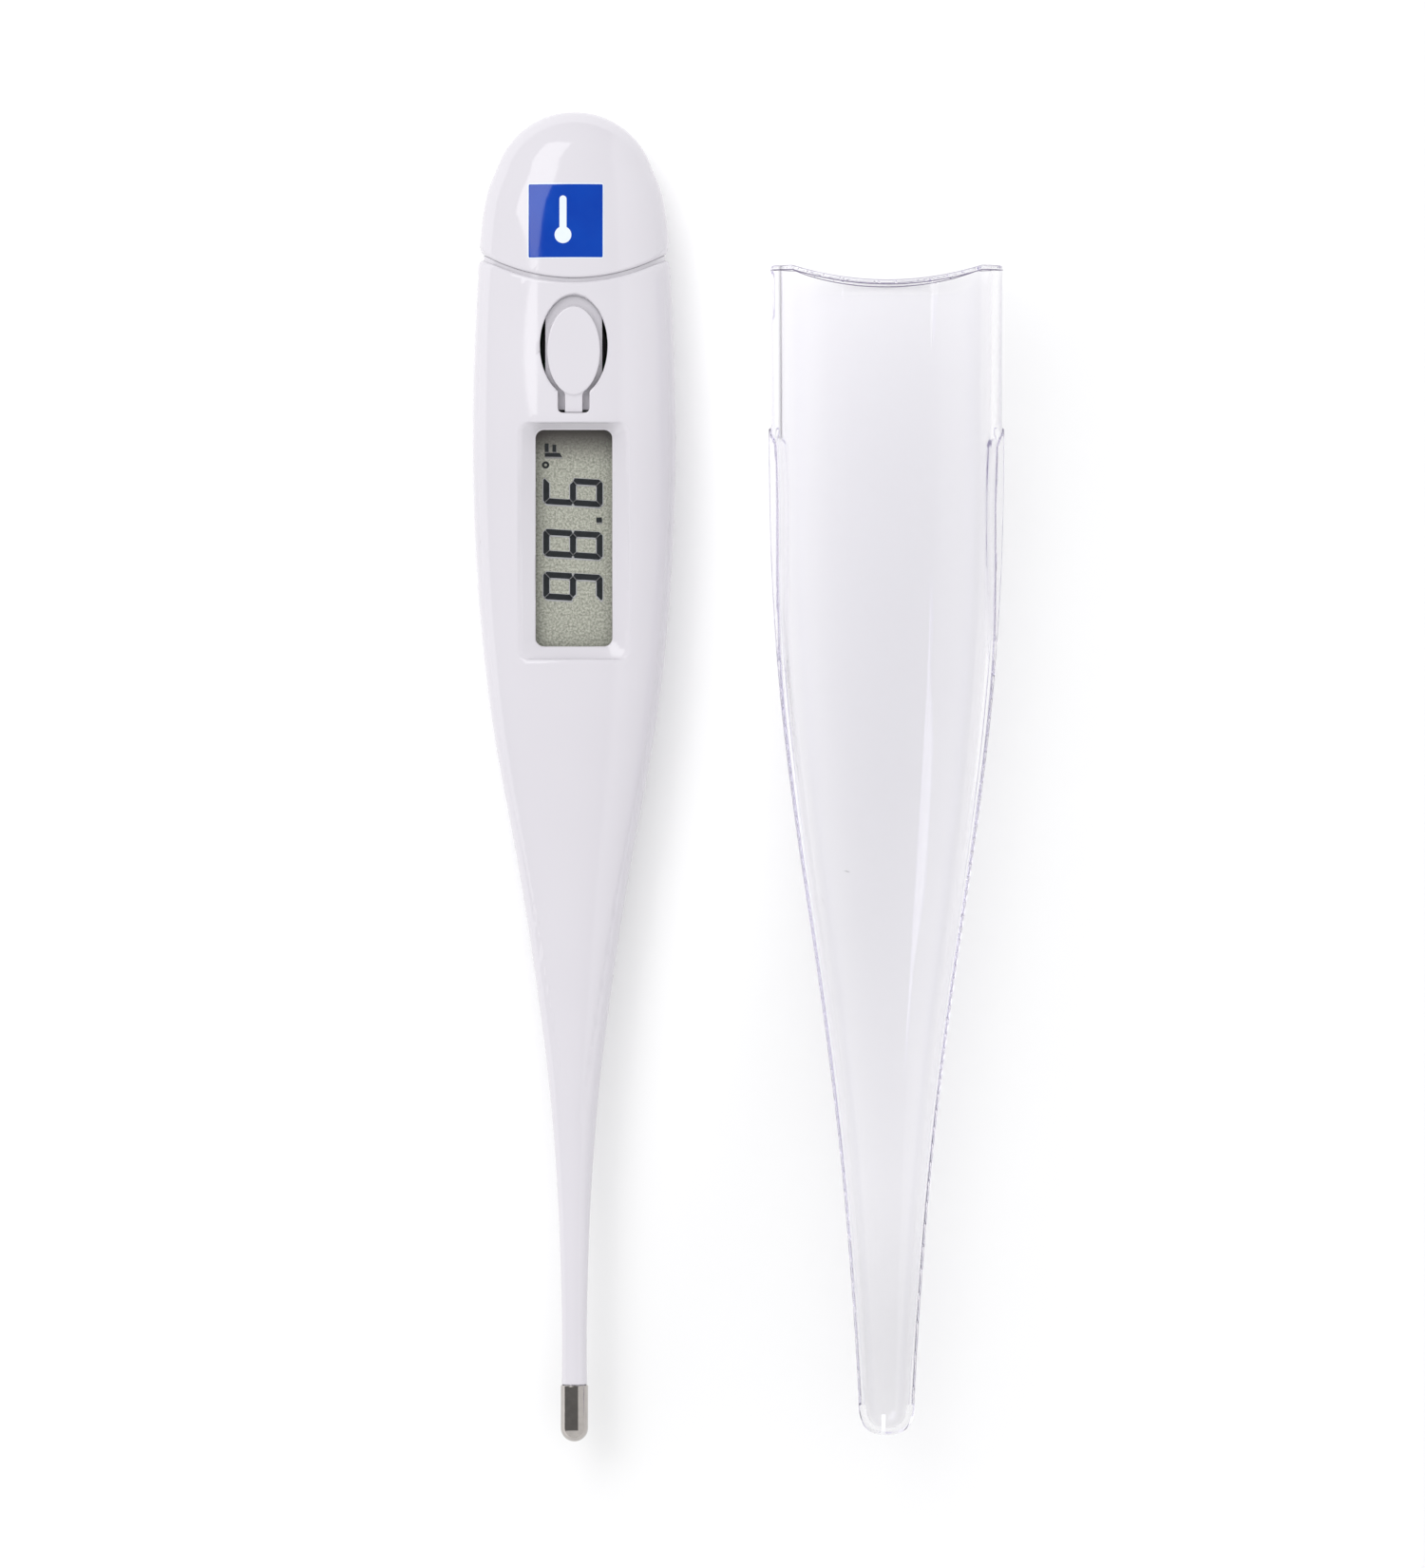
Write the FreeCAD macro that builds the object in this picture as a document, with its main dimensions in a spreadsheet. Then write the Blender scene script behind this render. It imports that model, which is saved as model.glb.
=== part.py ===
"""Stick thermometer with its clear storage case, as separate pieces.

Millimetres. +Z is up and the display faces up. +Y runs along the stick towards the battery cap, -Y towards
the probe tip. The origin lies on the flat back, on the long axis, under the middle of the display window.
"""
import FreeCAD, Part
import math
import os

import Sketcher
from FreeCAD import Placement, Rotation, Vector

doc = FreeCAD.newDocument("thermometer")
sheet = doc.addObject("Spreadsheet::Sheet", "sizes")
made = []                                      # the objects that become nodes, in order

# ---------------------------------------------------------------- driving dimensions
# The outer form is a row of ellipses across the stick: place along Y, half width, half thickness.
FORM = {
    "stem_end": (-80.8, 1.22, 1.20),
    "stem_mid": (-73.0, 1.23, 1.21),
    "stem_root": (-64.0, 1.52, 1.44),
    "taper_a": (-52.0, 2.43, 1.95),
    "taper_b": (-41.0, 3.83, 2.60),
    "taper_c": (-30.0, 5.58, 3.38),
    "taper_d": (-19.0, 7.60, 4.35),
    "belly_low": (-5.0, 9.16, 5.13),
    "belly": (10.0, 9.70, 5.43),
    "neckline": (24.0, 9.25, 4.99),
    "cap_a": (27.5, 9.05, 4.95),
    "cap_b": (31.0, 8.72, 4.82),
    "cap_c": (33.5, 8.18, 4.56),
    "cap_d": (36.0, 7.165, 4.0124),
}
# The room inside the housing, the same way, about its own lower axis.
ROOM = {
    "duct_a": (-57.0, 0.75, 0.62),
    "duct_b": (-45.0, 1.90, 1.25),
    "duct_c": (-36.0, 3.10, 1.75),
    "room_a": (-27.0, 4.90, 2.45),
    "room_b": (-19.0, 6.45, 2.85),
    "room_c": (-5.0, 8.00, 3.10),
    "room_d": (7.0, 8.45, 3.10),
    "room_e": (14.0, 8.35, 3.60),
    "room_f": (21.0, 8.30, 3.75),
}
# The clear case, outside and inside, about its own axis.
CASE_OUTSIDE = {
    "case_mouth": (26.0, 11.30, 6.60),
    "case_grip": (11.0, 11.24, 6.56),
    "case_a": (-3.0, 10.98, 6.45),
    "case_b": (-16.0, 10.06, 6.05),
    "case_c": (-30.0, 8.30, 5.20),
    "case_d": (-45.0, 6.10, 4.15),
    "case_e": (-60.0, 4.32, 3.25),
    "case_f": (-72.0, 3.30, 2.70),
    "case_end": (-82.6, 2.68, 2.45),
}
CASE_INSIDE = {
    "hollow_mouth": (26.5, 10.10, 5.60),
    "hollow_grip": (11.0, 10.02, 5.55),
    "hollow_a": (-3.0, 9.86, 5.40),
    "hollow_b": (-16.0, 9.05, 5.05),
    "hollow_c": (-30.0, 7.42, 4.25),
    "hollow_d": (-45.0, 5.30, 3.30),
    "hollow_e": (-60.0, 3.58, 2.50),
    "hollow_f": (-72.0, 2.62, 2.02),
    "hollow_end": (-82.6, 1.95, 1.75),
}
PLAIN = {
    "axis_height": 5.0,            # long axis of the stick above the resting plane
    "room_height": 4.6,            # axis of the room inside it
    "bore_radius": 0.7, "mouth_wide": 8.3, "mouth_thick": 4.2,
    "nose_radius": 7.75,           # plan radius of the cap's round nose
    "nose_flatness": 0.56,         # half thickness over half width at the nose
    "seam_radius": 17.2,           # plan radius of the cap's lower edge
    "seam_low": 24.75,             # lowest point of that edge on the long axis
    "seam_gap": 0.38,              # groove between cap and housing
    "spigot_wide": 8.08, "spigot_thick": 4.02, "spigot_low": 21.4,
    "cap_wall": 0.95,
    "window_wide": 3.645, "window_high_end": 10.31, "window_low_end": -10.29, "window_corner": 0.8,
    "window_floor": 8.5, "window_seat": 7.7,
    "bezel_wide": 5.2, "bezel_high_end": 11.07, "bezel_low_end": -11.65, "bezel_corner": 1.1,
    "bezel_rise": 9.28, "bezel_tilt": 1.9,
    "key_place": 18.3, "hole_wide": 3.21, "hole_long": 4.9, "key_wide": 2.48, "key_long": 4.24,
    "skirt_wide": 2.69, "skirt_long": 4.45, "neck_half": 0.79, "slot_half": 1.49, "slot_end": 11.9,
    "key_bottom": 9.0, "key_step": 9.55, "key_top": 10.34, "hinge_gap": 0.05,
    "case_offset": 29.8, "case_axis_height": 6.6, "case_end_length": 2.9,
    "case_dip_radius": 43.0, "case_dip": 24.4,
    "tip_radius": 1.31, "tip_skirt": 4.09, "tip_wall": 0.14, "plug_radius": 1.10, "plug_end": -83.6,
    "board_low": 3.4, "board_thick": 0.8, "board_half": 5.3, "board_high_end": 25.4,
    "floor_low": 2.8, "tray_half": 6.1,
    "cell_place": 31.2, "cell_radius": 3.95, "cell_thick": 3.6, "cell_low": 4.05,
    "glass_half": 4.8, "glass_long": 11.6, "glass_thick": 0.55, "glass_low": 5.7,
    "buzzer_place": 2.0, "buzzer_radius": 4.5, "buzzer_low": 1.75,
    "lead_radius": 0.12, "lead_spread": 0.28, "bead_place": -84.75, "bead_radius": 0.42,
}

row = 1
for alias, number in PLAIN.items():
    sheet.set(f"A{row}", alias)
    sheet.set(f"B{row}", str(number))
    sheet.setAlias(f"B{row}", alias)
    row += 1
for table in (FORM, ROOM, CASE_OUTSIDE, CASE_INSIDE):
    for name, numbers in table.items():
        for part_name, number in zip(("along", "wide", "thick"), numbers):
            sheet.set(f"A{row}", f"{name}_{part_name}")
            sheet.set(f"B{row}", str(number))
            sheet.setAlias(f"B{row}", f"{name}_{part_name}")
            row += 1
doc.recompute()


# ---------------------------------------------------------------- helpers
def size(text):
    """The number that an expression in the sheet's aliases gives."""
    return float(sheet.evalExpression(text))


def new_body(label):
    body = doc.addObject("PartDesign::Body", label)
    body.Label = label
    return body


def new_sketch(body, name, role="XY_Plane", lift="0", rise="0"):
    """A sketch parallel to an origin plane: lift is along +Z for XY, and along +Y for XZ."""
    sketch = body.newObject("Sketcher::SketchObject", name)
    plane = next(item for item in body.Origin.OriginFeatures if item.Role == role)
    sketch.AttachmentSupport = (plane, [""])
    sketch.MapMode = "FlatFace"
    sign = "-" if role == "XZ_Plane" else ""
    sketch.setExpression(".AttachmentOffset.Base.z", f"{sign}({lift})")
    sketch.setExpression(".AttachmentOffset.Base.y", rise)
    return sketch


def tie(sketch, constraint, expression):
    """Adds a dimension and binds it to the sheet."""
    index = sketch.addConstraint(constraint)
    sketch.setExpression(f"Constraints[{index}]", expression)


def draw_ellipse(sketch, wide, long, centre=None):
    """An ellipse with half axes wide (across) and long (up the sketch), on the sketch's vertical axis."""
    a, b = size(wide), size(long)
    y = size(centre) if centre else 0.0
    across = a >= b
    tips = (Vector(a, y, 0), Vector(0, y + b, 0)) if across else (Vector(0, y + b, 0), Vector(-a, y, 0))
    curve = sketch.addGeometry(Part.Ellipse(tips[0], tips[1], Vector(0, y, 0)))
    sketch.exposeInternalGeometry(curve)
    major, minor = curve + 1, curve + 2
    sketch.addConstraint(Sketcher.Constraint("Horizontal" if across else "Vertical", major))
    if centre:
        sketch.addConstraint(Sketcher.Constraint("PointOnObject", curve, 3, -2))
        tie(sketch, Sketcher.Constraint("DistanceY", -1, 1, curve, 3, y), centre)
    else:
        sketch.addConstraint(Sketcher.Constraint("Coincident", curve, 3, -1, 1))
    tie(sketch, Sketcher.Constraint("Distance", major, 2 * max(a, b)), f"2 * ({wide if across else long})")
    tie(sketch, Sketcher.Constraint("Distance", minor, 2 * min(a, b)), f"2 * ({long if across else wide})")


def draw_rectangle(sketch, half, low, high, corner=None):
    """A rectangle about the sketch's vertical axis, with round corners if a radius is given."""
    x, y0, y1 = size(half), size(low), size(high)
    r = size(corner) if corner else 0.0
    places = [(-x, y0), (x, y0), (x, y1), (-x, y1)]
    steps = [(1, 0), (0, 1), (-1, 0), (0, -1)]
    lines = []
    for (px, py), (qx, qy), (dx, dy) in zip(places, places[1:] + places[:1], steps):
        start, end = Vector(px + dx * r, py + dy * r, 0), Vector(qx - dx * r, qy - dy * r, 0)
        lines.append(sketch.addGeometry(Part.LineSegment(start, end)))
    for index, line in enumerate(lines):
        sketch.addConstraint(Sketcher.Constraint("Horizontal" if index % 2 == 0 else "Vertical", line))
    if corner:
        arcs = []
        for index, (cx, cy) in enumerate(places):
            centre = Vector(cx - math.copysign(r, cx), cy + (r if index < 2 else -r), 0)
            begin = math.pi + index * math.pi / 2
            circle = Part.Circle(centre, Vector(0, 0, 1), r)
            arcs.append(sketch.addGeometry(Part.ArcOfCircle(circle, begin, begin + math.pi / 2)))
        for index, arc in enumerate(arcs):
            sketch.addConstraint(Sketcher.Constraint("Tangent", lines[index - 1], 2, arc, 1))
            sketch.addConstraint(Sketcher.Constraint("Tangent", arc, 2, lines[index], 1))
        for arc in arcs[1:]:
            sketch.addConstraint(Sketcher.Constraint("Equal", arcs[0], arc))
        tie(sketch, Sketcher.Constraint("Radius", arcs[0], r), corner)
    else:
        for index, line in enumerate(lines):
            sketch.addConstraint(Sketcher.Constraint("Coincident", lines[index - 1], 2, line, 1))
    tie(sketch, Sketcher.Constraint("DistanceX", -1, 1, lines[1], 1, x), half)
    tie(sketch, Sketcher.Constraint("DistanceX", lines[3], 1, -1, 1, x), half)
    tie(sketch, Sketcher.Constraint("DistanceY", -1, 1, lines[0], 1, y0), low)
    tie(sketch, Sketcher.Constraint("DistanceY", -1, 1, lines[2], 1, y1), high)


def draw_outline(sketch, points):
    """A closed outline of straight sides; each corner is a pair of expressions."""
    corners = [Vector(size(x), size(y), 0) for x, y in points]
    lines = []
    for start, end in zip(corners, corners[1:] + corners[:1]):
        lines.append(sketch.addGeometry(Part.LineSegment(start, end)))
    for index, line in enumerate(lines):
        sketch.addConstraint(Sketcher.Constraint("Coincident", lines[index - 1], 2, line, 1))
    for line, corner, (x, y) in zip(lines, corners, points):
        tie(sketch, Sketcher.Constraint("DistanceX", -1, 1, line, 1, corner.x), x)
        tie(sketch, Sketcher.Constraint("DistanceY", -1, 1, line, 1, corner.y), y)


def loft(body, kind, name, table, rise="sizes.axis_height", only=None):
    """A loft through the ellipses of a table, all round one axis."""
    sections = []
    for station in only or table:
        sketch = new_sketch(body, f"{name}_{station}", "XZ_Plane", f"sizes.{station}_along", rise)
        draw_ellipse(sketch, f"sizes.{station}_wide", f"sizes.{station}_thick")
        sections.append(sketch)
    feature = body.newObject(f"PartDesign::{kind}", name)
    feature.Profile = sections[0]
    feature.Sections = sections[1:]
    doc.recompute()
    return feature


def pad(body, name, sketch, length, down=False):
    feature = body.newObject("PartDesign::Pad", name)
    feature.Profile = sketch
    feature.setExpression("Length", length)
    feature.Reversed = down
    doc.recompute()
    return feature


def pocket(body, name, sketch, length, up=False):
    """A pocket of the given length. Up cuts towards the sketch's +normal."""
    before = body.Shape.Volume
    feature = body.newObject("PartDesign::Pocket", name)
    feature.Profile = sketch
    feature.setExpression("Length", length)
    feature.Reversed = up
    doc.recompute()
    if body.Shape.Volume >= before:
        raise RuntimeError(f"{body.Label}: {name} removed nothing")
    return feature


def keep(item, label=None):
    """Adds a finished piece to the nodes."""
    if label:
        item.Label = label
    made.append(item)
    return item


def block(label, x, y, z):
    """A box between pairs of expressions."""
    box = doc.addObject("Part::Box", label)
    for side, axis, (low, high) in zip(("Length", "Width", "Height"), "xyz", (x, y, z)):
        box.setExpression(side, f"({high}) - ({low})")
        box.setExpression(f".Placement.Base.{axis}", f"{low}")
    return box


def rod(label, radius, length, x="0", y="0", z="0", along="z"):
    """A cylinder from a point, along +Z or along +Y."""
    cylinder = doc.addObject("Part::Cylinder", label)
    cylinder.setExpression("Radius", radius)
    cylinder.setExpression("Height", length)
    if along == "y":
        cylinder.Placement = Placement(Vector(), Rotation(Vector(1, 0, 0), -90))
    for axis, place in zip("xyz", (x, y, z)):
        cylinder.setExpression(f".Placement.Base.{axis}", place)
    return cylinder


def join(label, *pieces):
    fused = doc.addObject("Part::MultiFuse", label)
    fused.Shapes = list(pieces)
    return fused


def group(label, *pieces):
    """Separate solids in one node."""
    compound = doc.addObject("Part::Compound", label)
    compound.Links = list(pieces)
    return compound


def cut(label, base, tool):
    result = doc.addObject("Part::Cut", label)
    result.Base = base
    result.Tool = tool
    return result


def nose(body, kind, name, thinner):
    """The dome that closes the cap, tangent to the last ellipse of the form."""
    feature = body.newObject(f"PartDesign::{kind}", name)
    plane = next(item for item in body.Origin.OriginFeatures if item.Role == "XZ_Plane")
    feature.AttachmentSupport = (plane, [""])
    feature.MapMode = "FlatFace"
    radius = f"(sizes.nose_radius - {thinner})"
    centre = "(sizes.cap_d_along - sqrt(sizes.nose_radius ^ 2 - sizes.cap_d_wide ^ 2))"
    feature.setExpression(".AttachmentOffset.Base.y", "sizes.axis_height")
    feature.setExpression(".AttachmentOffset.Base.z", f"-{centre}")
    feature.setExpression("Radius1", radius)
    feature.setExpression("Radius2", radius)
    feature.setExpression("Radius3", f"sizes.nose_radius * sizes.nose_flatness - {thinner}")
    feature.Angle1 = -90
    if thinner == "0":
        feature.setExpression("Angle2", "-acos(sizes.cap_d_wide / sizes.nose_radius)")
    else:
        feature.Angle2 = 0
    doc.recompute()
    return feature


def seam_sketch(body, name, radius, low, upper):
    """The region on one side of the seam's arc, in plan: above it, or below it."""
    sketch = new_sketch(body, name)
    r, y = size(radius), size(low)
    reach = 12.0
    side = y + r - math.sqrt(r * r - reach * reach)
    far = 60.0 if upper else -95.0
    circle = Part.Circle(Vector(0, y + r, 0), Vector(0, 0, 1), r)
    half_angle = math.asin(reach / r)
    arc = sketch.addGeometry(Part.ArcOfCircle(circle, 1.5 * math.pi - half_angle, 1.5 * math.pi + half_angle))
    right = sketch.addGeometry(Part.LineSegment(Vector(reach, side, 0), Vector(reach, far, 0)))
    across = sketch.addGeometry(Part.LineSegment(Vector(reach, far, 0), Vector(-reach, far, 0)))
    left = sketch.addGeometry(Part.LineSegment(Vector(-reach, far, 0), Vector(-reach, side, 0)))
    for first, second in ((arc, right), (right, across), (across, left)):
        sketch.addConstraint(Sketcher.Constraint("Coincident", first, 2, second, 1))
    sketch.addConstraint(Sketcher.Constraint("Coincident", left, 2, arc, 1))
    sketch.addConstraint(Sketcher.Constraint("PointOnObject", arc, 3, -2))
    sketch.addConstraint(Sketcher.Constraint("Vertical", right))
    sketch.addConstraint(Sketcher.Constraint("Vertical", left))
    sketch.addConstraint(Sketcher.Constraint("Horizontal", across))
    tie(sketch, Sketcher.Constraint("Radius", arc, r), radius)
    tie(sketch, Sketcher.Constraint("DistanceY", -1, 1, arc, 3, y + r), f"({low}) + ({radius})")
    sketch.addConstraint(Sketcher.Constraint("DistanceX", -1, 1, right, 1, reach))
    sketch.addConstraint(Sketcher.Constraint("DistanceY", -1, 1, across, 1, far))
    return sketch


def cut_seam(body, name, radius, low, upper):
    sketch = seam_sketch(body, name + "_sketch", radius, low, upper)
    before = body.Shape.Volume
    feature = body.newObject("PartDesign::Pocket", name)
    feature.Profile = sketch
    feature.Type = "ThroughAll"
    feature.Midplane = True
    doc.recompute()
    if body.Shape.Volume >= before:
        raise RuntimeError(f"{body.Label}: {name} removed nothing")


# ---------------------------------------------------------------- housing
def main_housing():
    """One hollow moulding: the barrel, the tapering stem and a plug at its end for the metal tip."""
    body = new_body("main_housing")
    loft(body, "AdditiveLoft", "outer_form", FORM)
    cut_seam(body, "cap_seam", "sizes.seam_radius + sizes.seam_gap", "sizes.seam_low - sizes.seam_gap", True)
    plug = new_sketch(body, "tip_plug_sketch", "XZ_Plane", "sizes.plug_end", "sizes.axis_height")
    draw_ellipse(plug, "sizes.plug_radius", "sizes.plug_radius - 0.001")
    pad(body, "tip_plug", plug, "sizes.stem_end_along + 0.2 - sizes.plug_end", down=True)
    loft(body, "SubtractiveLoft", "room", ROOM, "sizes.room_height")
    bore = new_sketch(body, "stem_bore_sketch", "XZ_Plane", "sizes.plug_end - 1", "sizes.axis_height")
    draw_ellipse(bore, "sizes.bore_radius", "sizes.bore_radius - 0.001")
    pocket(body, "stem_bore", bore, "sizes.duct_a_along + 2 - sizes.plug_end")
    mouth = new_sketch(body, "mouth_sketch", "XZ_Plane", "28", "sizes.axis_height")
    draw_ellipse(mouth, "sizes.mouth_wide", "sizes.mouth_thick")
    pocket(body, "mouth", mouth, "28 - sizes.spigot_low + 0.5", up=True)
    back = new_sketch(body, "flat_back_sketch")
    draw_rectangle(back, "14", "-90", "60")
    pocket(body, "flat_back", back, "5")

    seat = new_sketch(body, "display_seat_sketch", lift="5.5")
    draw_rectangle(seat, "sizes.glass_half + 0.2", "-sizes.glass_long - 0.3", "sizes.glass_long + 0.3")
    pocket(body, "display_seat", seat, "sizes.window_seat - 5.5", up=True)
    window = new_sketch(body, "window_sketch", lift="7")
    draw_rectangle(window, "sizes.window_wide", "sizes.window_low_end", "sizes.window_high_end",
                   "sizes.window_corner")
    pocket(body, "window", window, "5", up=True)
    bezel(body)

    hole = new_sketch(body, "key_hole_sketch", lift="8")
    draw_ellipse(hole, "sizes.hole_wide", "sizes.hole_long", "sizes.key_place")
    pocket(body, "key_hole", hole, "4", up=True)
    slot = new_sketch(body, "neck_slot_sketch", lift="8")
    draw_rectangle(slot, "sizes.slot_half", "sizes.slot_end", "sizes.slot_end + 2.6", "0.45")
    pocket(body, "neck_slot", slot, "4", up=True)

    seat = new_sketch(body, "buzzer_seat_sketch", lift="sizes.buzzer_low")
    draw_ellipse(seat, "sizes.buzzer_radius + 0.15", "sizes.buzzer_radius + 0.149", "sizes.buzzer_place")
    pocket(body, "buzzer_seat", seat, "1.2", up=True)
    chamber = new_sketch(body, "buzzer_chamber_sketch", lift="sizes.buzzer_low - 0.85")
    draw_ellipse(chamber, "sizes.buzzer_radius - 0.6", "sizes.buzzer_radius - 0.601", "sizes.buzzer_place")
    pocket(body, "buzzer_chamber", chamber, "0.9", up=True)
    return body


def bezel(body):
    """The sunken frame round the window: sloping sides, with an outline that is straight in plan."""
    foot = new_sketch(body, "bezel_foot", lift="sizes.window_floor")
    draw_rectangle(foot, "sizes.window_wide + 0.12", "sizes.window_low_end - 0.12",
                   "sizes.window_high_end + 0.12", "sizes.window_corner")
    rim = new_sketch(body, "bezel_rim", lift="sizes.bezel_rise")
    tilted = rim.AttachmentOffset
    rim.AttachmentOffset = Placement(tilted.Base, Rotation(Vector(1, 0, 0), size("sizes.bezel_tilt")))
    draw_rectangle(rim, "sizes.bezel_wide", "sizes.bezel_low_end", "sizes.bezel_high_end",
                   "sizes.bezel_corner")
    before = body.Shape.Volume
    slopes = body.newObject("PartDesign::SubtractiveLoft", "bezel_slopes")
    slopes.Profile = foot
    slopes.Sections = [rim]
    doc.recompute()
    if body.Shape.Volume >= before:
        raise RuntimeError("the bezel removed nothing")
    brim = new_sketch(body, "bezel_brim_sketch", lift="sizes.bezel_rise")
    brim.AttachmentOffset = Placement(tilted.Base, Rotation(Vector(1, 0, 0), size("sizes.bezel_tilt")))
    draw_rectangle(brim, "sizes.bezel_wide", "sizes.bezel_low_end", "sizes.bezel_high_end",
                   "sizes.bezel_corner")
    pocket(body, "bezel_brim", brim, "3", up=True)


def battery_cap():
    """The round-nosed cap: a shell with a spigot that plugs into the housing's mouth."""
    body = new_body("battery_cap")
    loft(body, "AdditiveLoft", "outer_form", FORM, only=UPPER_STATIONS)
    nose(body, "AdditiveEllipsoid", "nose", "0")
    cut_seam(body, "seam", "sizes.seam_radius", "sizes.seam_low", False)
    collar = new_sketch(body, "spigot_sketch", "XZ_Plane", "sizes.spigot_low", "sizes.axis_height")
    draw_ellipse(collar, "sizes.spigot_wide", "sizes.spigot_thick")
    pad(body, "spigot", collar, "28.2 - sizes.spigot_low", down=True)
    notch = new_sketch(body, "key_notch_sketch", lift="6.9")
    draw_rectangle(notch, "4.1", "20", "23.75", "0.4")
    pocket(body, "key_notch", notch, "4", up=True)

    centre = "sizes.cap_d_along - sqrt(sizes.nose_radius ^ 2 - sizes.cap_d_wide ^ 2)"
    room = new_sketch(body, "room_sketch", "XZ_Plane", centre, "sizes.axis_height")
    draw_ellipse(room, "sizes.nose_radius - sizes.cap_wall",
                 "sizes.nose_radius * sizes.nose_flatness - sizes.cap_wall")
    pocket(body, "room", room, f"{centre} - sizes.spigot_low + 1", up=True)
    nose(body, "SubtractiveEllipsoid", "room_nose", "sizes.cap_wall")
    return body


def power_button():
    """The oval key with its skirt, a plunger under it and the thin neck that it bends on."""
    body = new_body("power_button")
    skirt = new_sketch(body, "skirt_sketch", lift="sizes.key_bottom")
    draw_ellipse(skirt, "sizes.skirt_wide", "sizes.skirt_long", "sizes.key_place")
    pad(body, "skirt", skirt, "sizes.key_step - sizes.key_bottom")
    crown_foot = new_sketch(body, "crown_foot", lift="sizes.key_step")
    draw_ellipse(crown_foot, "sizes.skirt_wide - 0.03", "sizes.skirt_long - 0.03", "sizes.key_place")
    crown_top = new_sketch(body, "crown_top", lift="sizes.key_top")
    draw_ellipse(crown_top, "sizes.key_wide", "sizes.key_long", "sizes.key_place")
    crown = body.newObject("PartDesign::AdditiveLoft", "crown")
    crown.Profile = crown_foot
    crown.Sections = [crown_top]
    doc.recompute()
    neck = new_sketch(body, "neck_sketch", lift="sizes.key_bottom")
    draw_rectangle(neck, "sizes.neck_half", "sizes.slot_end + sizes.hinge_gap", "sizes.key_place - 3")
    pad(body, "neck", neck, "0.85")
    plunger = new_sketch(body, "plunger_sketch", lift="sizes.key_bottom - 0.55")
    draw_ellipse(plunger, "1.2", "1.199", "sizes.key_place")
    pad(body, "plunger", plunger, "0.7")
    return body


def display_lens():
    """The clear window: a plug that fills the opening and a flange behind it."""
    body = new_body("display_lens")
    flange = new_sketch(body, "flange_sketch", lift="sizes.window_seat - 0.55")
    draw_rectangle(flange, "sizes.window_wide + 0.9", "sizes.window_low_end - 0.9",
                   "sizes.window_high_end + 0.9", "0.6")
    pad(body, "flange", flange, "0.55")
    plug = new_sketch(body, "plug_sketch", lift="sizes.window_seat - 0.1")
    draw_rectangle(plug, "sizes.window_wide - 0.03", "sizes.window_low_end + 0.03",
                   "sizes.window_high_end - 0.03", "sizes.window_corner - 0.03")
    pad(body, "plug", plug, "0.65")
    return body


# ---------------------------------------------------------------- probe
def probe_tip_cap():
    """The drawn steel cup over the end of the stem: an arc and a straight skirt, turned about the axis."""
    body = new_body("probe_tip_cap")
    sketch = new_sketch(body, "section", "XY_Plane", "sizes.axis_height")
    outer, wall = size("sizes.tip_radius"), size("sizes.tip_wall")
    mouth = size("sizes.stem_end_along") - 0.02
    turn = mouth - size("sizes.tip_skirt")
    inner = outer - wall
    side = sketch.addGeometry(Part.LineSegment(Vector(outer, mouth, 0), Vector(outer, turn, 0)))
    dome = sketch.addGeometry(Part.ArcOfCircle(Part.Circle(Vector(0, turn, 0), Vector(0, 0, 1), outer),
                                               1.5 * math.pi, 2 * math.pi))
    pole = sketch.addGeometry(Part.LineSegment(Vector(0, turn - outer, 0), Vector(0, turn - inner, 0)))
    hollow = sketch.addGeometry(Part.ArcOfCircle(Part.Circle(Vector(0, turn, 0), Vector(0, 0, 1), inner),
                                                 1.5 * math.pi, 2 * math.pi))
    bore = sketch.addGeometry(Part.LineSegment(Vector(inner, turn, 0), Vector(inner, mouth, 0)))
    lip = sketch.addGeometry(Part.LineSegment(Vector(inner, mouth, 0), Vector(outer, mouth, 0)))
    for first, end, second, start in ((side, 2, dome, 2), (dome, 1, pole, 1), (pole, 2, hollow, 1),
                                      (hollow, 2, bore, 1), (bore, 2, lip, 1), (lip, 2, side, 1)):
        sketch.addConstraint(Sketcher.Constraint("Coincident", first, end, second, start))
    sketch.addConstraint(Sketcher.Constraint("Vertical", side))
    sketch.addConstraint(Sketcher.Constraint("Vertical", bore))
    sketch.addConstraint(Sketcher.Constraint("Horizontal", lip))
    sketch.addConstraint(Sketcher.Constraint("PointOnObject", pole, 1, -2))
    sketch.addConstraint(Sketcher.Constraint("PointOnObject", pole, 2, -2))
    sketch.addConstraint(Sketcher.Constraint("PointOnObject", dome, 3, -2))
    sketch.addConstraint(Sketcher.Constraint("Coincident", dome, 3, hollow, 3))
    sketch.addConstraint(Sketcher.Constraint("Horizontal", dome, 3, dome, 2))
    tie(sketch, Sketcher.Constraint("Radius", dome, outer), "sizes.tip_radius")
    tie(sketch, Sketcher.Constraint("Radius", hollow, inner), "sizes.tip_radius - sizes.tip_wall")
    tie(sketch, Sketcher.Constraint("DistanceY", -1, 1, side, 1, mouth), "sizes.stem_end_along - 0.02")
    tie(sketch, Sketcher.Constraint("DistanceY", side, 2, side, 1, mouth - turn), "sizes.tip_skirt")
    spin = body.newObject("PartDesign::Revolution", "turned_cup")
    spin.Profile = sketch
    spin.ReferenceAxis = (sketch, ["V_Axis"])
    spin.Angle = 360
    doc.recompute()
    return body


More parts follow.
